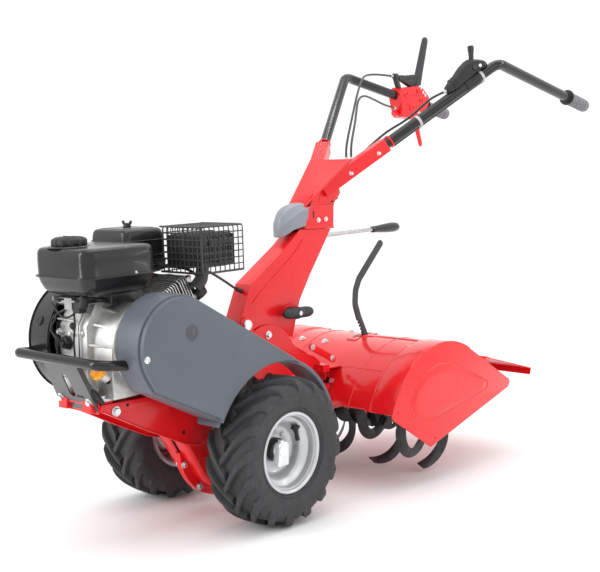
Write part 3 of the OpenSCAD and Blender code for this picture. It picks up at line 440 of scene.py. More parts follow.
def plastic(name, colour, rough=0.5, grain=0.06, grain_scale=900.0, coat=0.0):
    """Moulded plastic: a fine spark-eroded grain, with slow changes of sheen."""
    m = Nodes(name)
    slow = m.noise(7.0, 3.0)
    m.set("Base Color", m.ramp(slow, 0.3, 0.7, darker(colour, 0.92), darker(colour, 1.08)))
    m.set("Roughness", m.ramp(m.noise(60.0, 5.0), 0.3, 0.7, rough * 0.85, rough * 1.15))
    m.set("Coat Weight", coat)
    m.set("Coat Roughness", 0.2)
    m.set("Specular IOR Level", 0.35)
    fine = m.bump(m.noise(grain_scale, 2.0, 0.5), grain, 0.8)
    m.set("Normal", m.bump(m.noise(25.0, 2.0), 0.15, 0.3, fine))
    return m.material


def metal(name, colour, rough=0.35, grain=0.05, grain_scale=600.0, metallic=1.0, spots=0.12):
    """Bare or plated metal: mottled tint, uneven polish and a fine surface grain."""
    m = Nodes(name)
    m.set("Metallic", metallic)
    m.set("Base Color", m.ramp(m.noise(70.0, 5.0), 0.35, 0.65, darker(colour, 1 - spots), colour))
    m.set("Roughness", m.ramp(m.noise(40.0, 5.0, 0.65), 0.3, 0.7, rough * 0.7, rough * 1.35))
    m.set("Normal", m.bump(m.noise(grain_scale, 3.0, 0.6), grain, 0.8))
    return m.material


def casting(name, colour, rough=0.5):
    """Die-cast alloy: a pebbled skin with darker stains."""
    m = Nodes(name)
    m.set("Metallic", 0.85)
    pebbles = m.noise(260.0, 4.0, 0.6)
    stain = m.noise(28.0, 4.0, 0.6)
    m.set("Base Color", m.ramp(stain, 0.3, 0.7, darker(colour, 0.72), colour))
    m.set("Roughness", m.ramp(pebbles, 0.3, 0.7, rough * 0.75, rough * 1.25))
    m.set("Normal", m.bump(pebbles, 0.16, 0.9, m.bump(m.noise(60.0, 2.0), 0.25, 0.4)))
    return m.material


def rubber(name, colour, rough=0.75, grain_scale=500.0, grain=0.12, dust=0.35):
    """Vulcanised rubber: matt, finely pitted, with a grey bloom."""
    m = Nodes(name)
    bloom = m.noise(22.0, 5.0, 0.6)
    m.set("Base Color", m.ramp(bloom, 0.35, 0.75, colour, darker(colour, 1 + dust)))
    m.set("Roughness", m.ramp(m.noise(90.0, 4.0), 0.3, 0.7, rough * 0.8, min(1.0, rough * 1.2)))
    m.set("Specular IOR Level", 0.4)
    m.set("Normal", m.bump(m.noise(grain_scale, 3.0, 0.6), grain, 0.8))
    return m.material


RED = paint("red_paint", (0.74, 0.007, 0.011), 0.28, 0.3, 0.012, 0.04, shine=0.35)
BLACK = paint("black_paint", (0.009, 0.009, 0.010), 0.16, 0.18, 0.01, 0.15, shine=0.3)
TANK = paint("tank_paint", (0.010, 0.010, 0.011), 0.26, 0.15, 0.03, 0.15, shine=0.35)
GUARD = paint("wire_paint", (0.022, 0.022, 0.023), 0.4, 0.1, 0.05, 0.3)
MUFFLER = paint("heat_paint", (0.035, 0.035, 0.037), 0.5, 0.0, 0.08, 0.35)
PLATE_GREY = paint("plate_paint", (0.055, 0.057, 0.06), 0.35, 0.3, 0.05, 0.2)
SLATE = plastic("slate_plastic", (0.10, 0.112, 0.135), 0.42, 0.05, 1400.0, 0.12)
COVER_GREY = plastic("cover_plastic", (0.235, 0.25, 0.28), 0.38, 0.04, 1400.0, 0.2)
PLUG_GREY = plastic("plug_plastic", (0.075, 0.08, 0.09), 0.42, 0.05)
BLACK_PLASTIC = plastic("black_plastic", (0.018, 0.018, 0.019), 0.45, 0.06)
DARK_PLASTIC = plastic("dark_plastic", (0.035, 0.036, 0.039), 0.5, 0.08)
GRIP_RUBBER = rubber("grip_rubber", (0.17, 0.173, 0.185), 0.6, 700.0, 0.08, 0.25)
TYRE = rubber("tyre_rubber", (0.030, 0.031, 0.033), 0.62, 650.0, 0.1, 0.5)
BELT_RUBBER = rubber("belt_rubber", (0.03, 0.03, 0.03))
CABLE = plastic("cable_sleeve", (0.035, 0.037, 0.04), 0.4, 0.03)
ORANGE = plastic("orange_plastic", (0.85, 0.36, 0.03), 0.35, 0.04, 900.0, 0.2)
ALLOY = casting("cast_alloy", (0.72, 0.72, 0.70))
ALLOY_DARK = casting("fin_alloy", (0.42, 0.42, 0.42), 0.45)
ZINC = metal("zinc_plate", (0.80, 0.81, 0.82), 0.3)
AXLE_ZINC = metal("axle_zinc", (0.84, 0.88, 0.90), 0.42, metallic=0.55)
STEEL = metal("machined_steel", (0.55, 0.55, 0.55), 0.3, 0.05, 500.0)
RIM = paint("rim_paint", (0.56, 0.57, 0.585), 0.3, 0.35, 0.04, 0.08, metal=0.55)
TINE = metal("tine_steel", (0.055, 0.056, 0.060), 0.5, 0.2, 260.0, 0.5, 0.35)
# Black for the real gaskets, and also for the dark pieces that paint the shade inside holes and slots
GASKET_AND_HOLE_SHADE = plastic("gasket", (0.02, 0.02, 0.02), 0.7)
AIR_BLACK = plastic("air_plastic", (0.014, 0.014, 0.015), 0.3, 0.04, 900.0, 0.2)
FIN_BRIGHT = metal("fin_metal", (0.62, 0.61, 0.60), 0.32, 0.04, 500.0, 0.9, 0.2)
BLACK_GLOSS = plastic("knob_plastic", (0.012, 0.012, 0.013), 0.22, 0.02, 900.0, 0.3)
LEVER_BLACK = paint("lever_paint", (0.02, 0.02, 0.021), 0.42, 0.1, 0.04, 0.2)
HOOD_RED = paint("hood_paint", (0.70, 0.006, 0.010), 0.2, 0.5, 0.02, 0.06, shine=0.5)
PALE_SLEEVE = plastic("pale_plastic", (0.5, 0.5, 0.51), 0.4, 0.03)


# ------------------------------------------------------------------ wheels

TRACK_HALF = 177
SIDEWALL = [(81, 45), (88, 45.6), (90.6, 47), (92, 51), (96, 54.6), (99, 56.5)]
SHOULDER = [(136, 61), (142, 58.5), (147, 54), (150, 48), (152, 38), (153, 20), (153.3, 0)]


def tyre_section():
    """Half of the tyre's outside, from bead to crown, with fine ribs round the sidewall."""
    ribs = []
    for i in range(19):
        r = 100 + i * 2
        swell = 57 + 5 * math.sin((r - 100) / 38 * math.pi * 0.62)
        ribs.append((r, swell + (0.45 if i % 2 else -0.25)))
    return SIDEWALL + ribs + SHOULDER


def tyre_lug(bm, place, side, angle, turn):
    """One bar of the tread: it leaves the crown, sweeps back and runs over the shoulder."""
    stations = [(-6, 165, 7.5), (6, 165, 8.2), (22, 164.9, 8.6), (38, 164.2, 9.2),
                (48, 161.8, 10), (56, 156.5, 10.8), (60.5, 149.5, 11.2), (62.6, 141, 10.5),
                (62.2, 134, 7.5)]
    rings = []
    for x, r_out, half in stations:
        a = angle + turn * math.radians(30) * (max(x, 0) / 62) ** 0.85
        r_in = min(r_out - 6, 149)
        x_in = x if x < 56 else x - 7
        ring = [(a - w / r, r, xx) for r, xx, w in ((r_in, x_in, half + 3.5),
                (r_out - 1.6, x, half + 0.4), (r_out, x, half - 1.4))]
        ring += [(2 * a - p[0], p[1], p[2]) for p in reversed(ring)]
        rings.append([(r * math.cos(t), r * math.sin(t), side * xx) for t, r, xx in ring])
    if side < 0:
        rings = [ring[::-1] for ring in rings]
    loft(bm, rings, place)


def tyre(name, x, turn):
    place = at((x, 0, WHEEL_Z), (1 if x > 0 else -1, 0, 0))
    half = tyre_section()
    inside = [(144, -30), (144, 30), (138, 46), (112, 52), (98, 46), (84, 36)]
    loop = ([(r, -h) for r, h in half[:-1]] + half[::-1]
            + inside[::-1][:5] + [(r, -h) for r, h in inside[1:]][1:])
    bm = bmesh.new()
    turned_shell(bm, loop, place, 120)
    for i in range(16):
        for side in (-1, 1):
            tyre_lug(bm, place, side, math.radians(22.5 * (i + (0.5 if side < 0 else 0))), turn)
    # Pinched flash lines where the parts of the mould met
    for r, h in ((133.5, 61.6), (97.5, 56.4)):
        for s in (-1, 1):
            turned_shell(bm, [(r - 0.9, s * (h - 0.6)), (r, s * (h + 0.7)),
                              (r + 0.9, s * (h - 0.6))], place, 96)
    piece(name + "_shape", bm, TYRE, name, smooth=38)


RIM_SECTION = [
    (79, 44), (83, 45.4), (88, 45.8), (90.4, 47.6), (90.6, 50), (89.2, 52), (86.6, 52.9),
    (83.8, 52.2), (81.8, 49.6), (80.4, 44), (79.2, 36), (77.4, 29.5), (73.6, 26.2), (68, 24.6),
    (63.4, 21.4), (60.2, 14), (57.6, 4), (54.4, -2.6), (48.6, -5.6), (38, -6.4), (33, -4.6),
    (28, -4.4), (20, -4.8), (20, -8.2), (46, -9.4), (54, -7), (58, 0), (60.4, 12), (64, 20),
    (70, 22.4), (73.6, 21), (74, 8), (74, -34), (76.4, -43), (80, -49), (84, -52.4),
    (88.4, -51.6), (90.4, -49), (88.6, -46), (83, -45.4), (79, -44), (77, -34), (77, 34)]


def rim(name, x):
    place = at((x, 0, WHEEL_Z), (1 if x > 0 else -1, 0, 0))
    bm = bmesh.new()
    turned_shell(bm, RIM_SECTION, place, 128)
    for a in (45, 135, 225, 315):
        hex_bolt(bm, (*polar(40, a), -6.2), (0, 0, 1), 5.5, 4, 1.2, place)
    piece(name + "_shape", bm, RIM, name, smooth=40)
    bm = bmesh.new()
    foot, tip = Vector((40, 44, 24)), Vector((33, 18, 38))
    if x < 0:
        foot.x, tip.x = -foot.x, -tip.x
    stem = place @ at(foot, tip - foot)
    lathe(bm, [(9, -4), (8.6, 1), (6.4, 4), (5, 9), (4.4, 18), (5.2, 18.4), (5.2, 27),
               (4.4, 28.4), (2.5, 28.6)], stem, 24)
    lathe(bm, [(10.5, -3.4), (11, -1.6), (10, 0.6), (8, 0.8)], stem, 24)
    piece(name + "_valve", bm, BLACK_PLASTIC, smooth=40, body="wheels")


def hub():
    """The hub tubes, with the clamp block that the lock pin passes through."""
    tubes, blocks, rings = bmesh.new(), bmesh.new(), bmesh.new()
    for s in (-1, 1):
        place = at((s * TRACK_HALF, 0, WHEEL_Z), (s, 0, 0))
        inner = -TRACK_HALF + 61
        lathe(tubes, [(13, inner), (22, inner), (23, inner + 2), (23, -22), (26, -19), (51, -16),
                      (52, -15), (52, -9.4), (19, -8.4), (19, 14), (18, 15.4), (13, 15.4)],
              place, 48)
        for x0 in (-3.6, -0.4, 2.8, 6.0, 9.2):
            lathe(rings, [(19.2, x0), (25.4, x0), (26, x0 + 0.7), (26, x0 + 1.7),
                          (25.4, x0 + 2.4), (19.2, x0 + 2.4)], place, 48)
        outline = fillet([(-17, -33), (17, -33), (17, 12), (10, 19), (-10, 19), (-17, 12)],
                         2.5, 4, True)
        loft(blocks, [[(s * p.x, p.y, h) for p in outline] for h in (11, 25)], place)
        lathe(blocks, [(13.6, 24.6), (13.6, 26), (12.6, 27), (4, 27.2)], place, 36)
        hex_bolt(blocks, (-40 * s, -9, -5.4), (0, 0, 1), 6.5, 5, 1.6, place)
    piece("hub_tubes", tubes, AXLE_ZINC, "wheel_hubs", bevel=0.5)
    piece("hub_rings", rings, BLACK_PLASTIC, smooth=40, body="wheels")
    piece("hub_blocks", blocks, AXLE_ZINC, "lock_pins", bevel=1.0, segments=3)
    pins = bmesh.new()
    for s in (-1, 1):
        x = s * (TRACK_HALF + 18)
        lathe(pins, [(3.6, 0), (4, 0.6), (4, 54), (7.8, 54), (8.4, 54.8), (8.4, 58), (7.4, 59)],
              at((x, 0, WHEEL_Z - 35), (0, 0, 1)), 24)
        tube(pins, fillet([(x, -8, WHEEL_Z + 21), (x + s * 8, -16, WHEEL_Z + 16),
                           (x + s * 8, -16, WHEEL_Z - 20), (x, -8, WHEEL_Z - 38)], 8), 1.3, 8)
    piece("pin_clips", pins, ZINC, smooth=40, body="wheels")


tyre("tyre_left", TRACK_HALF, -1)
tyre("tyre_right", -TRACK_HALF, 1)
rim("rim_left", TRACK_HALF)
rim("rim_right", -TRACK_HALF)
hub()


# ------------------------------------------------------------------ chassis, gearbox, belt cover

GEARBOX_R = 112
HOOD_Y, HOOD_Z, HOOD_R = 546, 119, 232


def belt_cover():
    bm = cad_mesh("belt_cover")
    round_edges(bm, lambda e: at_x(e, 197) and e.is_convex, 7, 5)
    round_edges(bm, lambda e: at_x(e, 185) and e.is_convex, 3.6, 4)
    round_edges(bm, lambda e: at_x(e, 185) and not e.is_convex, 1.2, 3)
    piece("belt_cover_shape", bm, SLATE, "belt_cover", bevel=0.5, smooth=30)
    bm = bmesh.new()
    place = at((197, -262, 450), (1, 0, 0))
    lathe(bm, [(16.2, -1), (16.2, 0.3), (15.4, 1.1), (13.2, 1.1), (12.6, 0.5), (12, 0.5),
               (4, 0.9), (3, 1.5), (0.1, 1.7)], place, 40)
    piece("cover_plug", bm, PLUG_GREY, smooth=40)
    bm = bmesh.new()
    screw(bm, (196.6, -378, 408), (1, 0, 0), 5)
    for y, z in ((-300, 318), (-196, 272)):
        screw(bm, (150, y + 3, z + 4), (0, -0.45, -0.9), 4)
    piece("cover_screws", bm, ZINC, smooth=40)


def gearbox():
    """Two clamshell halves with a bolted flange round the bottom of the case."""
    for name, s in (("gearbox_left", 1), ("gearbox_right", -1)):
        bm = bmesh.new()
        slab(bm, [(0, WHEEL_Z, GEARBOX_R), (-185, 350, 58)], 0.2 * s, 46 * s, 11)
        slab(bm, [(0, WHEEL_Z, 90), (140, 205, 46)], 0.2 * s, 45 * s, 11)
        arc = [186 + 136 * k / 30 for k in range(31)]
        edge = [polar(130, a) for a in arc] + [polar(104, a) for a in arc[::-1]]
        sheet(bm, [(y, WHEEL_Z + z) for y, z in edge], 0.3 * s, 8 * s)
        face = at((45 * s, 0, WHEEL_Z), (s, 0, 0))
        lathe(bm, [(44, -2), (40, 1.5), (35, 4), (34, 7), (34, 12.5), (32.5, 14), (25, 14),
                   (24, 12), (13, 12)], face, 64)
        for a in range(15, 360, 60):
            tube(bm, [(*polar(36, a), 0), (*polar(96, a), -1)], 3.4, 10, face)
        for y, z in ((-110, 262), (-80, 200)):
            rod(bm, (45 * s, y, z), (61.5 * s, y, z), 14)
        piece(name + "_shape", bm, RED, name, bevel=1.2, segments=3, smooth=35)


def seam_line():
    """The dark gasket between the gearbox halves."""
    bm = bmesh.new()
    slab(bm, [(0, WHEEL_Z, GEARBOX_R + 0.4), (-185, 350, 58.4)], -0.5, 0.5, 0.1)
    piece("gearbox_seam", bm, GASKET_AND_HOLE_SHADE, smooth=40)


def bolts():
    """Hex bolts with washers on the chassis, gearbox, column base, hood and pivots."""
    bm = bmesh.new()
    for s in (-1, 1):
        for y, z in ((-350, 287), (-110, 262), (-80, 200)):
            hex_bolt(bm, (65 * s, y, z), (s, 0, 0), 8, 6)
        hex_bolt(bm, (31 * s, 134, 392), (s, 0, 0), 7, 5)
        lathe(bm, [(13, 0), (13, 5.2), (11.5, 7.2), (7.5, 8), (0.1, 8)],
              at((31.2 * s, 61, 422), (s, 0, 0)), 36)
        lathe(bm, [(7, 0), (7, 2.6), (5.5, 3.7), (0.1, 3.9)],
              at((8.1 * s, 577.9, 299.5), (s, 0, 0)), 24)
        for y, z in (polar(122, a) for a in (200, 235, 270, 305)):
            hex_bolt(bm, (8 * s, y, WHEEL_Z + z), (s, 0, 0), 6.6, 5)
    for x in (-150, -70):
        for a in (112, 84):
            out = Vector((0, *polar(1, a)))
            hex_bolt(bm, Vector((x, HOOD_Y, HOOD_Z)) + HOOD_R * out, out, 6.6, 4.4, 1.4)
    piece("bolts", bm, ZINC, "fasteners", bevel=0.3, smooth=30)


def chassis():
    bm = cad_mesh("chassis")
    round_edges(bm, lambda e: abs(e.verts[0].co.x) > 61 and abs(e.verts[1].co.x) > 61
                and at_x(e, math.copysign(65, e.verts[0].co.x)), 1.2, 3)
    piece("chassis_shape", bm, RED, "chassis", bevel=0.5, smooth=30)
    # Fold that stiffens the lower edge of each side plate, and dark discs in the drain holes that paint the shade
    # inside them
    bm = bmesh.new()
    lower = [(-382, 289), (-260, 230), (-164, 187), (-120, 176), (-60, 215)]
    for s in (-1, 1):
        path = fillet([(0, *p) for p in lower], 26, 6)
        sweep(bm, [(63.5 * s, p.y, p.z + 1.2) for p in path], oblong(9, 3.4, 1.6), up=(0, 0, 1))
    piece("chassis_fold", bm, RED, smooth=40)
    # Dark recessed discs: painted shade inside the two drain holes
    bm = bmesh.new()
    for s in (-1, 1):
        lathe(bm, [(4.6, 0), (4.6, 0.5), (3.4, 0.5), (3.2, -1), (0.1, -1)],
              at((65 * s, -168, 214), (s, 0, 0)), 24)
        lathe(bm, [(3.6, 0), (3.6, 0.4), (2.6, 0.4), (2.4, -1), (0.1, -1)],
              at((65 * s, -320, 296), (s, 0, 0)), 24)
    piece("chassis_hole_shade", bm, GASKET_AND_HOLE_SHADE, smooth=40)


belt_cover()
gearbox()
seam_line()
bolts()
chassis()


# ------------------------------------------------------------------ engine

FILLER = (-20, -98)
AIR_STUD = (-86, 106)
PLUG_X, PLUG_Z = 48, -8


def frame_ring(x0, x1, y0, y1, r, z, n=6):
    """A level rounded rectangle, as a ring of points in the engine frame."""
    cx, cy = (x0 + x1) / 2, (y0 + y1) / 2
    return [(cx + u, cy + v, z) for u, v in oblong(x1 - x0, y1 - y0, r, n)]


def tank():
    """Two pressed shells on a folded seam, with a crowned top and a filler neck."""
    bm = bmesh.new()
    x0, x1, y0, y1 = -88, 92, -142, 38
    loft(bm, [frame_ring(x0 - d, x1 + d, y0 - d, y1 + d, r, z, 8) for z, d, r in
              ((104.5, -34, 16), (105.6, -24, 20), (109.5, -15, 23), (118, -8, 26), (130, -3, 27.4),
               (141, 0, 28), (142, 0.6, 28.4), (142.4, 5, 33), (144.2, 5.6, 33.4), (146, 5, 33),
               (146.4, 0.8, 28.6), (148, 0, 28), (178, 0.6, 28.4), (190, 0, 28), (195, -1.4, 26.6),
               (198.6, -4.6, 24), (200.6, -9, 20), (201.6, -16, 16), (202.2, -34, 12), (202.6, -60, 8))])
    # Pressed panel that stands up round the filler
    lathe(bm, [(46, -1), (44, 1.4), (41, 2.6), (28, 3), (27, 5), (26.5, 8), (20, 8)],
          Matrix.Translation((*FILLER, 201.4)), 48)
    for x in (-50, 50):
        loft(bm, [frame_ring(x - 11, x + 11, -64, 24, 4, 86.2), frame_ring(x - 9, x + 9, -62, 22, 4, 107)])
    piece("tank_shape", bm, TANK, "fuel_tank", ENGINE, smooth=50)
    bm = bmesh.new()
    for x, y in ((-62, -132), (66, -132), (86, -20), (-62, 30), (66, 30)):
        hex_bolt(bm, (x * 1.04, y * 1.01, 145.6), (0, 0, 1), 4.4, 3.4, 1)
    piece("tank_bolts", bm, ZINC, place=ENGINE, smooth=30)


def ribbed(count, depth):
    """A radius scale with round-sided grip ribs."""
    return lambda a: 1 + depth * max(-1.0, min(1.0, math.cos(a * count) * 2.4)) * 0.5


def cap():
    bm = bmesh.new()
    place = Matrix.Translation((*FILLER, 203))
    lathe(bm, [(24.6, 1.5), (24.6, 0.4), (30, 0.2)], place, 96, (False, False))
    lathe(bm, [(30, 0.2), (34, 0.6), (35.2, 2), (35.2, 11), (33.6, 14), (31, 15.6), (29.4, 16.2)],
          place, 192, (False, False), ribbed(12, 0.055))
    lathe(bm, [(29.6, 15.6), (28.6, 17.4), (26, 18), (22, 18), (21, 17), (12, 17.2), (0.2, 17.6)],
          place, 96, (False, True))
    tube(bm, [(-17, 0, 17.6), (17, 0, 17.6)], 2.2, 10, place)
    piece("fuel_cap_shape", bm, BLACK_PLASTIC, "fuel_cap", ENGINE, smooth=40)


def air_filter():
    """Snap-on cover with a domed lid, its base tray, and the wing nut."""
    bm = bmesh.new()
    x0, x1, y0, y1 = -150, -22, 48, 164
    loft(bm, [frame_ring(x0 - d, x1 + d, y0 - d, y1 + d, r, z, 6) for z, d, r in
              ((148.2, -3, 9), (148.2, 0, 12), (152, 1, 13), (154, 1, 13), (155, -0.6, 12),
               (206, -2.6, 14), (216, -3.4, 16), (220.6, -5.6, 17), (223, -9.6, 15), (223.6, -14, 12),
               (223.2, -15.4, 11), (224.6, -17.4, 10), (225.2, -22, 8), (225.8, -46, 6))])
    for z in (164, 196):
        loft(bm, [frame_ring(x0 + d, x1 - d, y0 + d, y1 - d, r, z + up)
                  for d, r, up in ((1.2, 13, 0), (0.2, 14, 1), (0.2, 14, 2.4), (1.2, 13, 3.4))])
    piece("air_cover_shape", bm, AIR_BLACK, "air_cleaner_cover", ENGINE, smooth=45)
    bm = bmesh.new()
    loft(bm, [frame_ring(x0 - d, x1 + d, y0 - d, y1 + d, 12, z) for z, d in
              ((126, -18), (127, -10), (131, -4), (141, -1), (146, 0), (148, 0), (148, -4))])
    rod(bm, (*AIR_STUD, 146), (*AIR_STUD, 235), 3)
    tube(bm, fillet([(-96, 112, 128), (-96, 118, 98), (-92, 128, 92)], 12), 15, 24)
    piece("air_tray_shape", bm, AIR_BLACK, "air_cleaner", ENGINE, smooth=40)
    bm = bmesh.new()
    place = Matrix.Translation((*AIR_STUD, 226.4))
    lathe(bm, [(3.1, 0), (10, 0), (10, 1), (8, 1.6), (7, 6), (6, 7.4), (3.1, 7.4)], place, 24)
    for s in (-1, 1):
        wing = [(s * 5, 1.5), (s * 11, 3), (s * 16, 9), (s * 15.6, 13.4), (s * 11.4, 13.8), (s * 6, 7)]
        loft(bm, [[(p[0], y, p[1]) for p in wing] for y in (-1.6, 1.6)], place)
    piece("wing_nut_shape", bm, BLACK_PLASTIC, "wing_nut", ENGINE, bevel=0.6)


def muffler():
    """Pressed muffler box behind a punched heat shield."""
    bm = bmesh.new()
    loft(bm, [[(x, 193 + u, 175 + v) for u, v in oblong(98 + 2 * d, 74 + 2 * d, 16)]
              for x, d in ((3, -6), (4, -1), (6, 0), (48, 0), (50, 2.4), (54, 2.4), (56, 0),
                           (96, 0), (99, -3), (100, -9))])
    tube(bm, fillet([(76, 176, 140), (76, 170, 112), (70, 158, 96)], 18), 14, 24)
    rod(bm, (100, 178, 190), (112, 178, 190), 9)
    piece("muffler_shape", bm, MUFFLER, "muffler", ENGINE, smooth=40)
    # Heat shield with two rows of slots on its outer face and one along its sloping top
    bm = bmesh.new()
    slots = [[(y, z0), (y + 3.4, z0), (y + 3.4, z1), (y, z1)]
             for z0, z1 in ((150, 166), (172, 188)) for y in range(151, 239, 8)]
    sheet(bm, [(144, 140), (240, 140), (240, 200), (144, 200)], 104, 105.4, slots)
    block(bm, (88, 144, 212.6), (94, 240, 214))
    for i in range(12):
        y = 144 + 8.3 * i
        loft(bm, [[(105.4, y, 199), (105.4, y + 4.6, 199), (104, y + 4.6, 199), (104, y, 199)],
                  [(94.6, y + 3, 214), (94.6, y + 7.6, 214), (93.2, y + 7.6, 213), (93.2, y + 3, 213)]])
    block(bm, (2, 142.6, 140), (105, 144, 208))
    block(bm, (2, 240, 140), (105, 241.4, 208))
    piece("heat_shield", bm, GUARD, place=ENGINE, bevel=0.35)


def wire_guard():
    bm = bmesh.new()
    x0, x1, y0, y1, z0, z1 = -8.8, 118.8, 133.2, 255.8, 129.2, 226.8
    r, corner = 1.25, 10
    for i in range(8):
        z = lerp(z0, z1, i / 7)
        tube(bm, fillet([(x0, y1, z), (x0, y0, z), (x1, y0, z), (x1, y1, z)], corner, 5), r, 8)
    for i in range(9):
        x = lerp(x0 + corner, x1 - corner, i / 8)
        tube(bm, fillet([(x, y0 - 1.6, z0), (x, y0 - 1.6, z1 - 1), (x, y1, z1 + 0.6)], 6, 4), r, 8)
    for i in range(9):
        y = lerp(y0 + corner, y1, i / 8)
        tube(bm, fillet([(x1 + 1.6, y, z0), (x1 + 1.6, y, z1 - 1), (x0, y, z1 - 1)], 6, 4), r, 8)
        tube(bm, [(x0 - 1.6, y, z0), (x0 - 1.6, y, z1 - 1)], r, 8)
    tube(bm, fillet([(x0, y0, z0), (x1, y0, z0), (x1, y1, z0)], corner, 5), 2.4, 10)
    tube(bm, fillet([(x0, y0, z1), (x1, y0, z1), (x1, y1, z1), (x0, y1, z1)], corner, 5), 2.2, 10)
    rod(bm, (x1 - 2, y0 + 3, z0), (x1 - 2, y0 + 3, z1), 3.4, 12)
    for z in (150, 200):
        block(bm, (106, 184, z), (119, 192, z + 2.4))
    piece("guard_shape", bm, GUARD, "muffler_guard", ENGINE, smooth=40)


tank()
cap()
air_filter()
muffler()
wire_guard()


CASE = [(-96, -104), (-100, -60), (-98, 40), (-72, 86), (40, 86), (68.3, 78), (103.8, 2.1), (76, -60),
        (58, -104)]
CASE_BOLTS = [(-90, -40), (-93, 26), (-56, 84), (10, 85), (62, 74), (92, 22), (80, -42)]


def castings():
    """Crankcase halves with their bolted flange, gasket, ribs and bosses."""
    for node, s in (("crankcase", -1), ("crankcase_cover", 1)):
        bm = cad_mesh(node, TO_ENGINE)
        if s < 0:
            round_edges(bm, lambda e: at_x(e, -72) and e.is_convex, 9, 4)
        round_edges(bm, lambda e: e.is_convex and abs(e.verts[0].co.x) > 1
                    and not at_x(e, -72), 1.6, 2)
        out = fillet([(0, *grow(p, 3.5)) for p in CASE], 10, 4, True)
        sheet(bm, [(p.y, p.z) for p in out], 0.7 * s, 7 * s)
        for y, z in CASE_BOLTS:
            lathe(bm, [(9.5, 0), (9.2, 8), (8.6, 12.5), (6, 13)], at((0.8 * s, y, z), (s, 0, 0)), 20)
        if s > 0:
            for k in range(9):
                c, d = polar(1, 100 + 26 * k)
                web = [(22, 83 * c, 83 * d), (22, 95 * c, 95 * d), (64, 83 * c, 83 * d)]
                side = Vector((0, -d, c)) * 2.2
                loft(bm, [[Vector(p) - side for p in web], [Vector(p) + side for p in web]])
            lathe(bm, [(88, 88), (89.5, 90), (89.5, 95), (86, 97.5), (60, 98.5), (56, 97)],
                  ALONG_X, 64)
            for k in range(8):
                hex_bolt(bm, (97, *polar(76, 22 + 45 * k)), (1, 0, 0), 5, 4)
        else:
            for z in (-70, -46, 52):
                loft(bm, [[(x, -99, z - 2), (x, -104, z - 1.4), (x, -104, z + 1.4), (x, -99, z + 2)]
                          for x in (-66, -8)])
            for x in (-58, -18):
                lathe(bm, [(8, -3), (7.6, 7), (6.6, 8), (3, 8), (3, 5)],
                      at((x, -99, 26), (0, -1, 0)), 20)
        piece(node + "_shape", bm, ALLOY, node, ENGINE, bevel=0.5, smooth=30)
    bm = bmesh.new()
    out = fillet([(0, *grow(p, 4.4)) for p in CASE], 10, 4, True)
    sheet(bm, [(p.y, p.z) for p in out], -0.7, 0.7)
    piece("crankcase_gasket", bm, GASKET_AND_HOLE_SHADE, place=ENGINE, smooth=30)


def grow(p, d):
    """Moves an outline point away from the crankcase's middle."""
    v = Vector((p[0], p[1] + 8))
    v = v * (1 + d / v.length)
    return v.x, v.y - 8


def case_bolts():
    bm = bmesh.new()
    for y, z in CASE_BOLTS:
        hex_bolt(bm, (13.8, y, z), (1, 0, 0), 5, 4.4)
    for x in (-59.4, 59.4, -27):
        hex_bolt(bm, (x, -95, -102), (0, 0, 1), 6.4, 5)
    for x in (-58, -18):
        hex_bolt(bm, (x, -107, 26), (0, -1, 0), 4.6, 4, 1)
    hex_bolt(bm, (40, -100, -84), (0, -1, 0), 8, 7, 2)
    hex_bolt(bm, (20, -62, 100), (0, -0.4, 1), 5, 4, 1)
    piece("case_bolts", bm, ZINC, place=ENGINE, bevel=0.3)


def blower():
    """Fan housing pressed of sheet, with a rolled rim, and the recoil starter bolted to it."""
    bm = cad_mesh("blower_housing", TO_ENGINE)
    round_edges(bm, lambda e: at_x(e, -146) and e.is_convex, 6, 4)
    lathe(bm, [(11, -2), (11, 1.5), (9.6, 3), (4, 3.2), (3.4, 2.2), (0.1, 2)],
          at((-112, -115.4, 46), (0, -0.93, 0.37)), 32)
    rim = [polar(124.6, a) for a in range(118, 302, 4)]
    tube(bm, [(-76.4, y, z) for y, z in rim], 2.2, 8)
    tube(bm, [(-140, y * 1.003, z * 1.003) for y, z in rim], 1.4, 8)
    piece("blower_shape", bm, TANK, "blower_housing", ENGINE, bevel=0.4, smooth=30)
    bm = cad_mesh("recoil_cover", TO_ENGINE)
    round_edges(bm, lambda e: at_x(e, -186) and e.is_convex, 8, 4)
    round_edges(bm, lambda e: at_x(e, -162) and e.is_convex, 3, 3)
    place = at((-186, 0, 0), (-1, 0, 0))
    lathe(bm, [(34, -1), (34, 0.8), (31, 2), (27, 2), (25, 0.4), (12, 0.2), (11, 2), (7, 3),
               (0.1, 3)], place, 48)
    for k in range(16):
        tube(bm, [(*polar(r, 22.5 * k), 0.2) for r in (38, 62)], 1.6, 8, place)
    piece("recoil_shape", bm, BLACK_PLASTIC, "recoil_cover", ENGINE, bevel=0.5)
    bm = bmesh.new()
    for a in (40, 130, 220, 310):
        hex_bolt(bm, (-162, *polar(93, a)), (-1, 0, 0), 4.6, 4, 1.4)
    piece("recoil_bolts", bm, ZINC, place=ENGINE, bevel=0.3)


def starter_grip():
    place = ENGINE @ Matrix.Translation((-165, 66, 90)) @ Matrix.Rotation(math.radians(-35), 4, "X")
    bm = bmesh.new()
    lathe(bm, [(4, 17), (8, 17.4), (9, 20), (8, 27), (9, 34)], n=24)
    loft(bm, [[(w * u, y, 34 + h * v) for u, v in circle(1, 20)] for y, w, h in
              ((-29, 3, 3), (-28, 7, 6), (-24, 9, 8), (-12, 8, 8.6), (0, 9.4, 9),
               (12, 8, 8.6), (24, 9, 8), (28, 7, 6), (29, 3, 3))])
    piece("starter_grip_shape", bm, BLACK_PLASTIC, "starter_handle", place, smooth=50)
    bm = bmesh.new()
    tube(bm, [(0, 0, z) for z in range(-52, 19, 2)], 2.4, 8)
    piece("starter_rope", bm, GRIP_RUBBER, place=place, smooth=50, body="starter_handle")


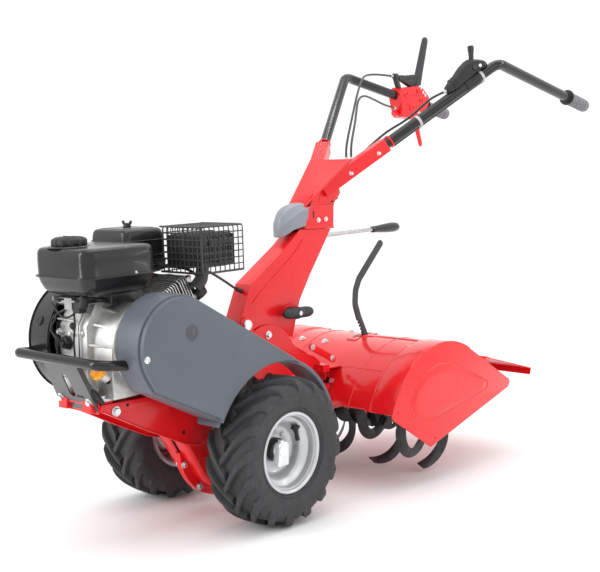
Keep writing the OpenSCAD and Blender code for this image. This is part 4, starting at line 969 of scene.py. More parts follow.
def filler_cap():
    place = ENGINE @ Matrix.Translation((66, -92, -54)) @ Matrix.Rotation(math.radians(50), 4, "X")
    bm = bmesh.new()
    lathe(bm, [(9.6, -2), (9.6, 13)], n=32)
    lathe(bm, [(11, 13.4), (19, 13.4), (20, 14.6), (20, 20.4), (18.6, 22.4), (12, 23), (0.2, 23)],
          Matrix(), 120, (True, True), ribbed(20, 0.05))
    loft(bm, [[(w * u, 17 * v, z) for u, v in circle(1, 24)]
              for z, w in ((22, 6.4), (26, 5), (31, 4.4), (33.4, 3.6), (34, 2))])
    lathe(bm, [(3, -28), (3, -1)], Matrix(), 12)
    piece("dipstick_shape", bm, ORANGE, "dipstick", place, smooth=45)


def wiring():
    """Oil level sensor and the wires that loop from it up to the fan housing."""
    bm = bmesh.new()
    place = at((-40, -99.5, 4), (0, -1, 0))
    lathe(bm, [(16, -1), (16, 2), (14, 3), (14, 9), (12, 11.4), (8, 12), (8, 17), (5, 18)],
          place, 6)
    lathe(bm, [(10, 8), (9, 13.4), (6, 14)], place, 24)
    lathe(bm, [(7, -1), (7, 3), (5, 6), (3, 7)], at((-20, -99, 40), (0, -1, 0)), 20)
    for side, lift in ((-1, 0), (1, 3)):
        route = [(-40 + 2 * side, -114, 6), (-46 + 4 * side, -122, 14), (-62, -121 - lift, 32),
                 (-60 + 5 * side, -118, 52), (-44, -116 - lift, 66), (-22 + 3 * side, -112, 76),
                 (-2, -104 - lift, 86), (20, -92, 96)]
        tube(bm, smooth_path(route, 8), 1.9, 10)
    route = [(-70, -112, 84), (-52, -116, 74), (-30, -117, 60), (-8, -114, 62), (10, -108, 76),
             (18, -100, 92)]
    tube(bm, smooth_path(route, 8), 2.2, 10)
    route = [(-2, -108, 70), (2, -112, 40), (-3, -112, 10), (-4, -110, -24)]
    tube(bm, smooth_path(route, 8), 2.0, 10)
    piece("sensor_shape", bm, BLACK_PLASTIC, "oil_sensor", ENGINE, smooth=45)
    # Throttle and governor levers, springs and brackets between the case and the tank
    bm = bmesh.new()
    slab(bm, [(-70, 92, 7), (-118, 96, 6), (-96, 84, 5)], -52, -49.4, 1, n=24)
    slab(bm, [(-104, 92, 6), (-84, 74, 8), (-60, 90, 6)], 6, 8.4, 1, n=24)
    block(bm, (-56, -112, 86.5), (34, -60, 89))
    block(bm, (-20, -118, 76), (4, -112, 100))
    rod(bm, (-60, -110, 97), (30, -104, 100), 1.6, 10)
    rod(bm, (-30, -116, 92), (14, -116, 94), 2.6, 12)
    piece("governor", bm, ALLOY_DARK, place=ENGINE, bevel=0.5)
    bm = bmesh.new()
    block(bm, (4, -116, 70), (26, -98, 94))
    lathe(bm, [(8, 0), (9, 2), (9, 20), (7, 24)], at((34, -112, 82), (0.2, 0, 1)), 20)
    coil = [(-26 + 0.9 * k, -108 + 4 * math.cos(k * 1.05), 80 + 4 * math.sin(k * 1.05))
            for k in range(48)]
    tube(bm, coil, 0.8, 6)
    piece("ignition_parts", bm, BLACK_PLASTIC, place=ENGINE, bevel=0.8)


def cylinder():
    """Barrel and head with many thin, wavy cooling fins."""
    place = ENGINE @ Matrix.Rotation(math.radians(25), 4, "X")
    for node, y0, y1, core, fx, fz in (("cylinder", 95.3, 150, 88, 60, 52),
                                       ("cylinder_head", 150.3, 180, 96, 62, 54)):
        bm = bmesh.new()
        block(bm, (-core / 2, y0, -core / 2), (core / 2, y1, core / 2))
        y = y0 + 3
        while y < y1 - 2:
            rings = []
            for k in range(25):
                x = lerp(-fx, fx, k / 24)
                w = 1.1 * math.sin(x / 10)
                c = 1 if abs(x) < fx - 8 else math.sqrt(max(0.15, 1 - ((abs(x) - fx + 8) / 8.5) ** 2))
                z = fz - 9 * (1 - c)
                rings.append([(x, y + w, -z), (x, y + 2.2 + w, -z), (x, y + 2.2 + w, z),
                              (x, y + w, z)])
            loft(bm, rings)
            y += 6.8
        if node == "cylinder_head":
            slab(bm, [(182, -26, 8), (182, 26, 8), (206, -28, 6), (206, 28, 6)], -44, 32, 4, n=24)
            for x in (-36, 24):
                for z in (-26, 26):
                    hex_bolt(bm, (x, 211, z), (0, 1, 0), 5, 4, 1)
            lathe(bm, [(9, 0), (9, 10), (6, 14), (6, 22)], at((PLUG_X, 179, PLUG_Z), (0, 1, 0)), 6)
        piece(node + "_shape", bm, FIN_BRIGHT, node, place, smooth=35)
    bm = bmesh.new()
    lathe(bm, [(10, 10), (12, 12), (12.4, 26), (11, 38), (7, 40)], at((PLUG_X, 180, PLUG_Z), (0, 1, 0)), 24)
    route = [(48, 216, -8), (48, 224, 8), (30, 214, 44), (-10, 190, 64), (-70, 150, 70)]
    tube(bm, smooth_path(route, 8), 3.2, 10)
    piece("plug_cap", bm, BLACK_PLASTIC, place=place, smooth=45)
    # Exhaust elbow and its flange
    bm = bmesh.new()
    slab(bm, [(196, -14, 9), (196, 14, 9)], 33, 38, 1.5, n=24)
    for z in (-14, 14):
        hex_bolt(bm, (38, 196, z), (1, 0, 0), 5, 4.4, 1)
    piece("exhaust_elbow", bm, MUFFLER, place=place, smooth=45)


def carburettor():
    bm = cad_mesh("carburettor", TO_ENGINE)
    lathe(bm, [(17.4, 0), (17.4, 3), (16, 4), (15, -24), (12, -29), (6, -30), (6, -33), (0.1, -34)],
          Matrix.Translation((-96, 137, 68)), 32)
    for z in (78, 96):
        screw(bm, (-118, 116, z), (-1, 0, 0), 4)
    piece("carburettor_shape", bm, ALLOY, "carburettor", ENGINE, bevel=0.8)


castings()
case_bolts()
blower()
starter_grip()
filler_cap()
wiring()
cylinder()
carburettor()


def bumper():
    """Bent tube with plugged ends, and the slotted plate that hangs from it."""
    front, lead = -444, Vector((6, 92, -8)).normalized()
    left, right = Vector((137, front, 398)), Vector((-137, front, 398))
    mirrored = Vector((-lead.x, lead.y, lead.z))
    path = fillet([left + 84 * lead, left, right, right + 31 * mirrored], 28, 14)
    bm = bmesh.new()
    tube(bm, path, 10.5, 32)
    lathe(bm, [(10.5, -2), (10.9, 0), (10.6, 2), (8.6, 4.4), (4, 5.8), (0.2, 6)],
          at(right + 31 * mirrored, mirrored), 32)
    piece("bumper_tube", bm, BLACK, "bumper", smooth=50)
    place = (MM @ Matrix.Translation((0, front + 4, 392)) @ Matrix.Rotation(math.radians(26), 4, "X")
             @ Matrix.Rotation(math.pi / 2, 4, "Z"))
    bm = bmesh.new()
    edge = [(54, 2), (-54, 2), (-57, -40), (-62, -112), (-57, -118), (57, -118), (62, -112),
            (57, -40)]
    slot = [p for a in (0, 1) for p in
            [(9 * math.cos(math.pi * (k / 8 + a)), (-38 if a == 0 else -74)
              + 9 * math.sin(math.pi * (k / 8 + a))) for k in range(9)]]
    sheet(bm, edge, -1.5, 1.5, [slot])
    for s in (-1, 1):
        loft(bm, [[(x, s * w, z) for x, w in ((-1.5, 55 + k), (10, 55 + k), (10, 53 + k), (-1.5, 53 + k))]
                  for z, k in ((-2, 0), (-98, 7))])
    piece("bumper_plate", bm, PLATE_GREY, place=place, bevel=0.6)
    bm = bmesh.new()
    for s in (-1, 1):
        hex_bolt(bm, (-1.5, s * 46, -90), (-1, 0, 0), 7, 5)
    piece("bumper_bolts", bm, ZINC, place=place, bevel=0.3)
    # Mounting bracket under the engine, behind the plate
    bm = bmesh.new()
    for s in (-1, 1):
        block(bm, (40 * s - 14, -404, 288), (40 * s + 14, -392, 312))
    block(bm, (-58, -400, 303), (58, -352, 309))
    piece("engine_foot", bm, RED, bevel=1.5)
    bm = bmesh.new()
    tube(bm, smooth_path([(30, -392, 330), (44, -404, 340), (62, -402, 332), (74, -392, 314),
                          (60, -380, 306)], 8), 4.2, 12)
    block(bm, (14, -408, 318), (34, -392, 338))
    piece("drain_hose", bm, BLACK_PLASTIC, bevel=1.2, smooth=40)


bumper()


# ------------------------------------------------------------------ column and handlebars

ARM_START = Vector((26, 352, 741))
BEND = Vector((257, 768, 1064))
BAR_END = Vector((246, 1266, 984))
ARM_DIR = (BEND - ARM_START).normalized()
GRIP_DIR = (BAR_END - BEND).normalized()
ARM_SIDE = ARM_DIR.cross(Vector((1, 0, 0))).normalized()
BAR_R = 13.5
LEVER_X = -251
CLUTCH_PIVOT = (LEVER_X, 1104, 1056)
REVERSE_PIVOT = (LEVER_X, 1100, 974)
KNOB_PIVOT = (0, 212, 440)
LEVER_FOOT = (0, 577.9, 299.5)
THROTTLE_PIVOT = (0, 30, 18)


def even(path, step):
    """The same path with its points evenly spaced."""
    out, left = [path[0]], step
    for a, b in zip(path, path[1:]):
        d = (b - a).length
        while d and left <= d:
            out.append(a.lerp(b, left / d))
            left += step
        left -= d
    return out + [path[-1]] if (path[-1] - out[-1]).length > step * 0.3 else out


def on_side(p, s):
    """The point or direction for the left side (1), or mirrored for the right (-1)."""
    return Vector((s * p.x, p.y, p.z))


def arm(distance):
    """A point on the middle line of the left handlebar tube."""
    return ARM_START + distance * ARM_DIR


def column():
    """Folded channel of the column: wide bend radii, foot plates, swivel plate."""
    bm = cad_mesh("column_lower")
    round_edges(bm, lambda e: (at_x(e, 25) or at_x(e, -25)) and e.is_convex, 5, 5)
    for s in (-1, 1):
        # Stiffening bead pressed along each side
        path = [(s * 25, 84, 470), (s * 25, 130, 508), (s * 25, 214, 568), (s * 25, 262, 612)]
        sweep(bm, smooth_path(path, 6), oblong(5, 1.6, 0.8), up=(0, -0.8, 0.6))
        lathe(bm, [(17, -1), (17, 0.6), (16, 1.4), (11, 1.4), (10.6, 0.4)],
              at((25 * s, *KNOB_PIVOT[1:]), (s, 0, 0)), 32)
    # Closed throat under the swivel
    slab(bm, [(196, 586, 3), (246, 628, 3), (268, 628, 3), (212, 580, 3)], -24, 24, 1, n=24)
    piece("column_shape", bm, RED, "column_lower", bevel=0.6, smooth=30)
    bm = cad_mesh("column_base")
    round_edges(bm, lambda e: (at_x(e, 31) or at_x(e, -31)) and e.is_convex, 2, 3)
    piece("column_base_shape", bm, RED, "column_base", bevel=0.6, smooth=30)
    # Rubber boot between the column's foot and the belt cover
    bm = bmesh.new()
    rows = []
    for k in range(7):
        t = k / 6
        w = 23 + (1.6 if k % 2 else -0.6)
        rows.append([(u * w / 20, 24 + 14 * t + v * 0.5 - 5 * t, 392 + 34 * t + v * 0.35)
                     for u, v in oblong(40, 30, 10)])
    loft(bm, rows)
    piece("column_boot", bm, BLACK_PLASTIC, smooth=45)


def knob():
    """Clamp lever of the height adjustment: a ribbed bar on a threaded spindle."""
    bm = bmesh.new()
    rows = []
    for i in range(66):
        t = i / 65
        y = lerp(-47, 57, t)
        end = max(0.0, 1 - abs(2 * t - 1) ** 6)
        rib = 0.9 * max(-0.6, math.cos(y * 2 * math.pi / 7.5)) if abs(y) > 16 else 0
        r = (12.6 + rib + (2.6 * math.exp(-(y / 12) ** 2))) * max(0.25, end ** 0.5)
        rows.append([(51 + 0.95 * r * u, 212 + y, 440 + r * v) for u, v in circle(1, 28)])
    loft(bm, rows)
    lathe(bm, [(12, 24), (13, 26), (13, 44), (10, 63.4), (9, 64), (8.4, 63), (4, 63)],
          at(KNOB_PIVOT, (1, 0, 0)), 32)
    lathe(bm, [(13, 26), (13, 32), (11, 33.4), (0.1, 33.4)], at(KNOB_PIVOT, (-1, 0, 0)), 6)
    piece("knob_shape", bm, DARK_PLASTIC, "height_knob", smooth=45)
    bm = bmesh.new()
    lathe(bm, [(6, -33), (6, 62), (5.6, 65.4), (2, 66), (0.1, 65.4)],
          at(KNOB_PIVOT, (1, 0, 0)), 24)
    piece("knob_spindle", bm, ZINC, smooth=40, body="height_knob")


def gear_lever():
    place = Matrix.Translation((0, 300, 617)) @ Matrix.Rotation(math.radians(2.7 - 90), 4, "X")
    bm = bmesh.new()
    lathe(bm, [(5, 0), (5, 280)], place, 20)
    lathe(bm, [(5.4, 70), (7.4, 71), (7.4, 75), (5.4, 76)], place, 20)
    piece("gear_rod", bm, STEEL, "gear_lever", smooth=40)
    bm = bmesh.new()
    lathe(bm, [(6, 268), (8, 268.6), (8.6, 272), (8.8, 284), (10, 300), (12, 326), (13.2, 350),
               (13, 364), (11.4, 376), (8, 382), (4.4, 384), (3.4, 383), (0.1, 382.6)], place, 40)
    piece("gear_knob", bm, BLACK_GLOSS, smooth=50, body="gear_lever")


def column_upper():
    """Welded yoke: a boxed foot on the swivel and two arms that hold the handlebar tubes."""
    bm = cad_mesh("column_upper")
    round_edges(bm, lambda e: (at_x(e, 27) or at_x(e, -27)) and e.is_convex
                and e.calc_length() > 12, 2.4, 4)
    for s in (1, -1):
        for off in (-16.356, 16.356):
            tube(bm, [on_side(arm(t) + ARM_SIDE * off, s) for t in (20, 198)], 2.0, 8)
        lathe(bm, [(BAR_R + 0.2, -1), (BAR_R + 3.4, 0), (BAR_R + 3.4, 3), (BAR_R + 0.2, 4)],
              at(on_side(arm(203), s), on_side(ARM_DIR, s)), 40)
    slab(bm, [(276, 644, 4), (366, 646, 4), (366, 692, 4), (276, 686, 4)], -29.5, 29.5, 2.4)
    for s in (1, -1):
        slab(bm, [(326, 708, 6), (350, 742, 8), (384, 764, 8), (388, 716, 6)], s * 25, s * 28.4, 1.4)
        tube(bm, [(s * 20, 277, 701.6), (s * 57, 392, 805.4)], 1.3, 8)
    tube(bm, [(-57, 391, 804.6), (57, 391, 804.6)], 1.3, 8)
    slab(bm, [(268, 641.4, 2.4), (374, 641.4, 2.4)], -30, 30, 1, n=24)
    slab(bm, [(272, 690, 2.4), (374, 698, 2.4)], -30.5, 30.5, 1.4, n=24)
    slab(bm, [(270, 694, 2), (296, 722, 2), (302, 716, 2), (280, 690, 2)], -27, 27, 1, n=24)
    piece("yoke_shape", bm, RED, "column_upper", bevel=0.8, smooth=30)
    bm = bmesh.new()
    for s in (1, -1):
        for y, z in ((316, 660), (344, 662)):
            hex_bolt(bm, (s * 29.5, y, z), (s, 0, 0), 4.6, 3.4, 1)
        for t in (60, 150):
            hex_bolt(bm, on_side(arm(t) + Vector((18, 0, 0)), s), (s, 0, 0), 5, 4, 1)
    piece("yoke_bolts", bm, ZINC, bevel=0.3, body="handlebar")
    # Dark inserts in the slots on the yoke's sides: painted shade inside the slots
    bm = bmesh.new()
    for s in (1, -1):
        loft(bm, [[(x * s, 298 + u, 674 + v) for u, v in oblong(5, 17, 2.4)] for x in (28, 29.9)])
        loft(bm, [[(x * s, 372 + u, 716 + v) for u, v in oblong(9, 26, 2)] for x in (24, 27.3)])
    piece("yoke_slot_shade", bm, GASKET_AND_HOLE_SHADE, smooth=40, body="handlebar")


def swivel_cover():
    """Two-faced plastic cover in front of the swivel, with a ridge from its foot to its top."""
    bm = bmesh.new()
    rows = []
    for y, w, zb, zr, zt in ((196.4, 6, 622, 640, 646), (197.6, 11, 619, 643, 658),
                             (201, 17, 620, 648, 668), (208, 22, 623, 655, 680),
                             (218, 26, 628, 663, 689), (232, 29, 636, 672, 696),
                             (250, 31, 640, 681, 700), (264, 32, 643, 686, 702),
                             (278, 32.4, 645, 690, 703)):
        half = [(w * 0.7, zb), (w * 0.86, zb + 2), (w, zr), (w * 0.93, zr + 2),
                (w * 0.62, lerp(zr, zt, 0.78)), (w * 0.3, lerp(zr, zt, 0.97)), (w * 0.1, zt)]
        rows.append([(x, y, z) for x, z in half] + [(-x, y, z) for x, z in half[::-1]])
    loft(bm, rows)
    piece("swivel_cover_shape", bm, COVER_GREY, "swivel_cover", bevel=1.6, segments=3, smooth=24)


def handlebars():
    bm = bmesh.new()
    for s in (1, -1):
        line = [on_side(p, s) for p in (arm(5), BEND, BAR_END - 2 * GRIP_DIR)]
        tube(bm, fillet(line, 55, 20), BAR_R, 40)
    piece("handlebar_shape", bm, BLACK, "handlebars", smooth=50)


def grips():
    bm, collar = bmesh.new(), bmesh.new()
    for s in (1, -1):
        place = at(on_side(BAR_END - 108 * GRIP_DIR, s), on_side(GRIP_DIR, s))
        profile = [(14, 0), (17, 0.4), (17.2, 6)]
        for z in range(8, 104, 16):
            profile += [(15.4, z), (17.6, z + 1.2), (18.5, z + 4), (18.5, z + 9), (17.6, z + 11.8),
                        (15.4, z + 13)]
        profile += [(17, 105), (18, 107), (17.6, 110), (15, 112), (8, 112), (7, 110.6), (0.1, 110.4)]
        lathe(bm, profile, place, 48)
        lathe(collar, [(14, -4), (21, -3.4), (22, -2), (22, 2), (21, 3.6), (17, 4)], place, 48)
        lathe(collar, [(14, -14), (15.6, -13.6), (15.6, -3), (14, -3)], place, 40)
    piece("grips_shape", bm, GRIP_RUBBER, "grips", smooth=38)
    piece("grip_collars", collar, BLACK_PLASTIC, smooth=38, body="handlebar")


def lever_housing():
    bm = cad_mesh("lever_housing")
    round_edges(bm, lambda e: e.is_convex and (at_x(e, LEVER_X + 22) or at_x(e, LEVER_X - 22)),
                5, 4)
    for y, z, r in ((1030, 1030, 9), (1112, 1018, 9), (1060, 990, 11), (1094, 1046, 9)):
        for s in (1, -1):
            lathe(bm, [(r + 2, -2), (r, 2), (r - 1, 3.4), (r - 4, 3.6), (r - 5, 1.4), (0.1, 1.2)],
                  at((LEVER_X + 22 * s, y, z), (s, 0, 0)), 24)
    for z in (1000, 1032):
        slab(bm, [(1040, z, 3), (1098, z + 2, 3)], LEVER_X + 20, LEVER_X + 25, 1.4, n=24)
    lathe(bm, [(15, -16), (16.6, -14), (16.6, 14), (15, 16)], at((LEVER_X, 1022, 1022), (0, 1, -0.16)), 32)
    for z in (1040, 968):
        lathe(bm, [(8, -4), (8, 10), (6.5, 12), (6.5, 20), (3.5, 21)],
              at((LEVER_X, 1012, z + 2), (0, -1, 0.05)), 20)
    piece("lever_housing_shape", bm, RED, "lever_housing", bevel=0.8, smooth=30)
    # Bracket that holds the end of the clutch cable in front of the lever's web
    bm = bmesh.new()
    slab(bm, [(1022, 1036, 7), (1004, 1062, 5), (996, 1083, 7)], LEVER_X - 2, LEVER_X + 10, 1.6)
    lathe(bm, [(3.2, -9), (8.6, -8), (9.4, 5), (8, 8), (3.2, 9)],
          at((LEVER_X + 5, 997, 1083.5), (0, 1, 0.05)), 24)
    piece("cable_bracket_shape", bm, DARK_PLASTIC, smooth=34, body="handlebar")
    bm = bmesh.new()
    for _, y, z in (CLUTCH_PIVOT, REVERSE_PIVOT):
        for s in (-1, 1):
            hex_bolt(bm, (LEVER_X + 22 * s, y, z), (s, 0, 0), 5.6, 4, 1.2)
    for y, z in ((1120, 1042), (1132, 1034)):
        screw(bm, (LEVER_X + 22, y, z), (1, 0, 0), 3.6)
    piece("lever_screws", bm, ZINC, bevel=0.3, body="handlebar")


def clutch_lever():
    """Tapered clutch lever of oval section on a triangular web, and the reverse lever below it."""
    bm = bmesh.new()
    rows = []
    pivot, tip = Vector((LEVER_X, 1114, 1062)), Vector((LEVER_X, 1160, 1218))
    d = (tip - pivot).normalized()
    n = Vector((0, d.z, -d.y))
    for t, w, h in ((0, 9.4, 15), (0.06, 9.8, 15.4), (0.3, 9.2, 13.6), (0.6, 8.8, 12.2),
                    (0.86, 8.4, 11), (0.95, 7.8, 10), (0.985, 6, 7.6), (1, 3.4, 4.4)):
        rows.append([pivot.lerp(tip, t) + Vector((w * u, 0, 0)) + h * v * n
                     for u, v in oblong(2, 2, 0.75, 5)])
    loft(bm, rows)
    slab(bm, [(1112, 1060, 12), (1120, 1092, 8), (1022, 1080, 7)], LEVER_X - 6, LEVER_X + 6, 2.4)
    slab(bm, [(1022, 1080, 9), (1034, 1082, 8)], LEVER_X - 8.5, LEVER_X + 8.5, 2)
    for p, q in (((1030, 1082), (1116, 1092)), ((1030, 1076), (1106, 1052)), ((1110, 1058), (1118, 1092))):
        slab(bm, [(*p, 3), (*q, 3)], LEVER_X - 8, LEVER_X + 8, 1.2, n=24)
    lathe(bm, [(9, -11), (10, -10), (10, 10), (9, 11)], at(CLUTCH_PIVOT, (1, 0, 0)), 24)
    rod(bm, (LEVER_X - 24, *CLUTCH_PIVOT[1:]), (LEVER_X + 24, *CLUTCH_PIVOT[1:]), 4)
    piece("clutch_lever_shape", bm, DARK_PLASTIC, "clutch_lever", bevel=0.5, smooth=34)
    bm = bmesh.new()
    loft(bm, [[(LEVER_X + w * u, y + h * v * 0.92, z + h * v * 0.36) for u, v in oblong(2, 2, 0.75, 5)]
              for y, z, w, h in ((1100, 974, 7, 9), (1112, 948, 6.6, 9), (1128, 908, 5, 8),
                                 (1138, 884, 4.6, 7.4), (1140.6, 876, 3, 5))])
    lathe(bm, [(9, -8), (10, -7), (10, 7), (9, 8)], at(REVERSE_PIVOT, (1, 0, 0)), 24)
    rod(bm, (LEVER_X - 24, *REVERSE_PIVOT[1:]), (LEVER_X + 24, *REVERSE_PIVOT[1:]), 4)
    piece("reverse_lever_shape", bm, RED, "reverse_lever", smooth=40)


def throttle():
    """Moulded throttle control that straddles the left tube, with a thumb lever."""
    place = MM @ at(arm(485), ARM_DIR)
    bm = bmesh.new()
    loft(bm, [[(w * u, y + h * v, z) for u, v in oblong(2, 2, 0.9, 6)] for z, y, w, h in
              ((-76, 19, 8, 6), (-74, 19.4, 12, 10), (-62, 21, 15, 13.4), (-40, 24, 16.4, 17),
               (-14, 29, 17, 22), (6, 32, 17, 23), (18, 33, 16.6, 22), (30, 30, 16, 19),
               (46, 24, 15, 14), (56, 20, 11, 9), (58, 19, 7, 5))])
    lathe(bm, [(14, -26), (15.4, -25), (15.8, -23), (15.8, 17), (15.4, 19), (14, 20)], Matrix(), 40)
    for z in (-56, -47, -38):
        loft(bm, [[(w * u, 24 + (z + 40) * 0.11 + 17.6 * v, z + dz) for u, v in oblong(2, 2, 0.9, 6)]
                  for w, dz in ((16.4, 0), (17.2, 0.8), (17.2, 2.2), (16.4, 3))])
    piece("throttle_shape", bm, BLACK_PLASTIC, "throttle_body", place, smooth=45)
    bm = bmesh.new()
    for x in (-16.6, 16.6):
        screw(bm, (x, 26, 34), (x, 0, 0), 3)
    piece("throttle_screws", bm, ZINC, place=place, smooth=40, body="handlebar")
    bm = bmesh.new()
    lathe(bm, [(4, -19), (7, -18.6), (7.4, -17.6), (12, -4), (12.4, -3), (12.4, 3), (12, 4),
               (7.4, 17.6), (7, 18.6), (4, 19)], at(THROTTLE_PIVOT, (1, 0, 0)), 28)
    turn = Matrix.Translation(THROTTLE_PIVOT) @ Matrix.Rotation(math.radians(30), 4, "X")
    loft(bm, [[(w * u, y, h * v) for u, v in oblong(2, 2, 0.8, 5)] for y, w, h in
              ((4, 3.6, 8), (22, 3.6, 6.4), (38, 4.6, 7), (50, 5.6, 8.4), (55, 5.4, 8), (57, 4, 6))], turn)
    for k in range(4):
        loft(bm, [[(5.8 * u, 42 + 3.4 * k + d, 8.8 * v) for u, v in oblong(2, 2, 0.8, 4)]
                  for d in (0, 1.2)], turn)
    piece("throttle_lever_shape", bm, BLACK_GLOSS, "throttle_lever", place, smooth=40)


def tine_lever():
    """Flat bar lever: straight above, bent below the middle, with catches near its foot."""
    line = [LEVER_FOOT, (0, 548, 340), (0, 513, 400), (0, 498, 436), (0, 500, 472),
            (0, 514, 501), (0, 610, 597)]
    path = even(fillet(line, [0, 20, 30, 40, 40, 30, 0], 6), 1.5)
    bm = bmesh.new()
    rings = []
    for i, p in enumerate(path):
        d = (path[min(i + 1, len(path) - 1)] - path[max(i - 1, 0)]).normalized()
        n = Vector((0, d.z, -d.y))
        rest = len(path) - 1 - i
        w = 9 * (1 if rest > 3 else (0.3, 0.6, 0.8, 0.95)[rest])
        notch = 5 if 364 < p.z < 400 and int((p.z - 364) / 4.4) % 2 == 0 else 0
        rings.append([p + n * u + Vector((v, 0, 0)) for u, v in
                      ((-w + notch, -2.4), (-w + 0.8 + notch, -3), (w - 0.8, -3), (w, -2.4), (w, 2.4),
                       (w - 0.8, 3), (-w + 0.8 + notch, 3), (-w + notch, 2.4))])
    loft(bm, rings)
    lathe(bm, [(9, -3), (9.6, -2.4), (9.6, 2.4), (9, 3)], at(LEVER_FOOT, (1, 0, 0)), 28)
    piece("tine_lever_shape", bm, LEVER_BLACK, "tine_lever", smooth=35)


column()
knob()
gear_lever()
column_upper()
swivel_cover()
handlebars()
grips()
lever_housing()
clutch_lever()
throttle()
tine_lever()


# ------------------------------------------------------------------ tine hood

PRESSING = ((391, 204), (407, 246), (448, 285), (516, 306), (578, 302), (751, 228), (742, 208),
            (506, 161), (420, 177))


def hood_arc(x, r, a0=160, a1=63):
    angles = [math.radians(lerp(a0, a1, i / 40)) for i in range(41)]
    return [Vector((x, HOOD_Y + r * math.cos(a), HOOD_Z + r * math.sin(a))) for a in angles]


def hood_band(bm, stations):
    """A strip of skin over the hood, of the given height above it at each x."""
    loft(bm, [hood_arc(x, HOOD_R + lift) + hood_arc(x, HOOD_R - 1, 63, 160) for x, lift in stations])


def hood():
    bm = cad_mesh("hood")
    for v in bm.verts:
        y = v.co.y - HOOD_Y
        if abs(y) < 120 and v.co.z > 300:
            top = HOOD_Z + math.sqrt(HOOD_R ** 2 - y * y)
            v.co.z = min(v.co.z, top + 3.5)
        if abs(abs(v.co.x) - 60) < 0.5 and v.co.y < 400:
            v.co.x *= 45 / 60
    piece("hood_shape", bm, HOOD_RED, "hood", bevel=0.5, smooth=24)
    bm = bmesh.new()
    for x in (-115, 10, 115):
        lift = 0.5 if x == 10 else 1.1
        hood_band(bm, [(x - 2.2, -0.4), (x - 0.8, lift), (x + 0.8, lift), (x + 2.2, -0.4)])
    for s in (1, -1):
        hood_band(bm, [(s * x, d) for x, d in ((178, -0.4), (179.4, 1.2), (182, 1.4), (183.4, 0.2),
                                               (186, 0.2), (187.6, 2.6), (191, 3.4), (250, 3.6),
                                               (253.4, 3.2), (254.6, 2.0))])
    # Crease pressed low along the front, and the long pressing above it
    tube(bm, [(-30, 326.4, 196), (-20, 325.8, 204), (170, 325.8, 204), (176, 326.4, 196)], 1.2, 8)
    arcs = []
    for p in fillet([(10, 340, 226), (10, 366, 266), (60, 388, 291), (172, 388, 291)], 40, 10):
        out = Vector((0, p.y - HOOD_Y, p.z - HOOD_Z)).normalized() * (HOOD_R - 0.4)
        arcs.append((p.x, HOOD_Y + out.y, HOOD_Z + out.z))
    tube(bm, arcs, 1.1, 8)
    # Rib from the tine lever's gate to the end band
    sleeve = [Vector((x, HOOD_Y + 232 * math.cos(a), HOOD_Z + 232 * math.sin(a)))
              for x, a in ((4, 1.72), (14, 1.70), (26, 1.66), (60, 1.63), (176, 1.62))]
    tube(bm, smooth_path(sleeve, 6), 2.6, 10)
    piece("hood_seams", bm, HOOD_RED, smooth=34)


def hood_ends():
    bm = cad_mesh("hood_ends")
    round_edges(bm, lambda e: at_x(e, 255, 0.4) or at_x(e, -255, 0.4), 0.9, 3)
    piece("hood_ends_shape", bm, RED, "hood_ends", smooth=24)
    bm = bmesh.new()
    loop = fillet([(0, y, z) for y, z in PRESSING], 30, 6, closed=True)
    centre = sum(loop, Vector()) / len(loop)
    for s in (1, -1):
        loft(bm, [[p - (p - centre).normalized() * inset + Vector((s * x, 0, 0)) for p in loop]
                  for inset, x in ((0, 254.6), (1.4, 256.2), (4.2, 256.4), (6, 255.2), (7.4, 255.2),
                                   (9, 256.2), (30, 256.7))])
        tube(bm, hood_arc(s * 253.8, HOOD_R + 3.0, 161, 62), 1.5, 10)
        for y, z in ((344, 196), (500, 110)):
            lathe(bm, [(4, 0), (3.6, 1.4), (0.1, 1.8)], at((s * 255, y + 6, z + 6), (s, 0, 0)), 20)
    piece("end_pressings", bm, RED, smooth=40)


def flap():
    soften("flap", RED, 0.7, 2, 24)
    place = Matrix.Translation((0, 747, 287)) @ Matrix.Rotation(math.radians(-13.6), 4, "X")
    bm = bmesh.new()
    for y in (60, 190):
        for x0, x1 in ((-228, -90), (-70, 70), (90, 228)):
            tube(bm, [(x0, y, 5.8), (x0 + 8, y, 6.6), (x1 - 8, y, 6.6), (x1, y, 5.8)], 2.2, 8, place)
    for x in (-160, 0, 160):
        screw(bm, (x, 30, 6), (0, 0, 1), 4, place)
    piece("flap_ribs", bm, RED, smooth=40, body="flap")


def frame_strip():
    """Bolted strip that ties the column's foot to the hood."""
    bm = bmesh.new()
    for s in (1, -1):
        slab(bm, [(268, 352, 9), (352, 312, 9)], s * 46, s * 50, 1.4)
    piece("hood_strip", bm, RED, smooth=34)
    bm = bmesh.new()
    for s in (1, -1):
        for y, z in ((272, 350), (346, 315)):
            hex_bolt(bm, (s * 50, y, z), (s, 0, 0), 5.6, 4, 1.2)
    piece("strip_bolts", bm, ZINC, bevel=0.3)


# ------------------------------------------------------------------ tines

FLANGES = (-190, -72, 72, 190)
ROTOR_Y, ROTOR_Z = 560, 165


def tine_mid(t):
    r = 40 + 108 * math.sin(math.pi / 2 * t)
    a = math.radians(-64 * t * t)
    return Vector((0, r * math.cos(a), r * math.sin(a)))


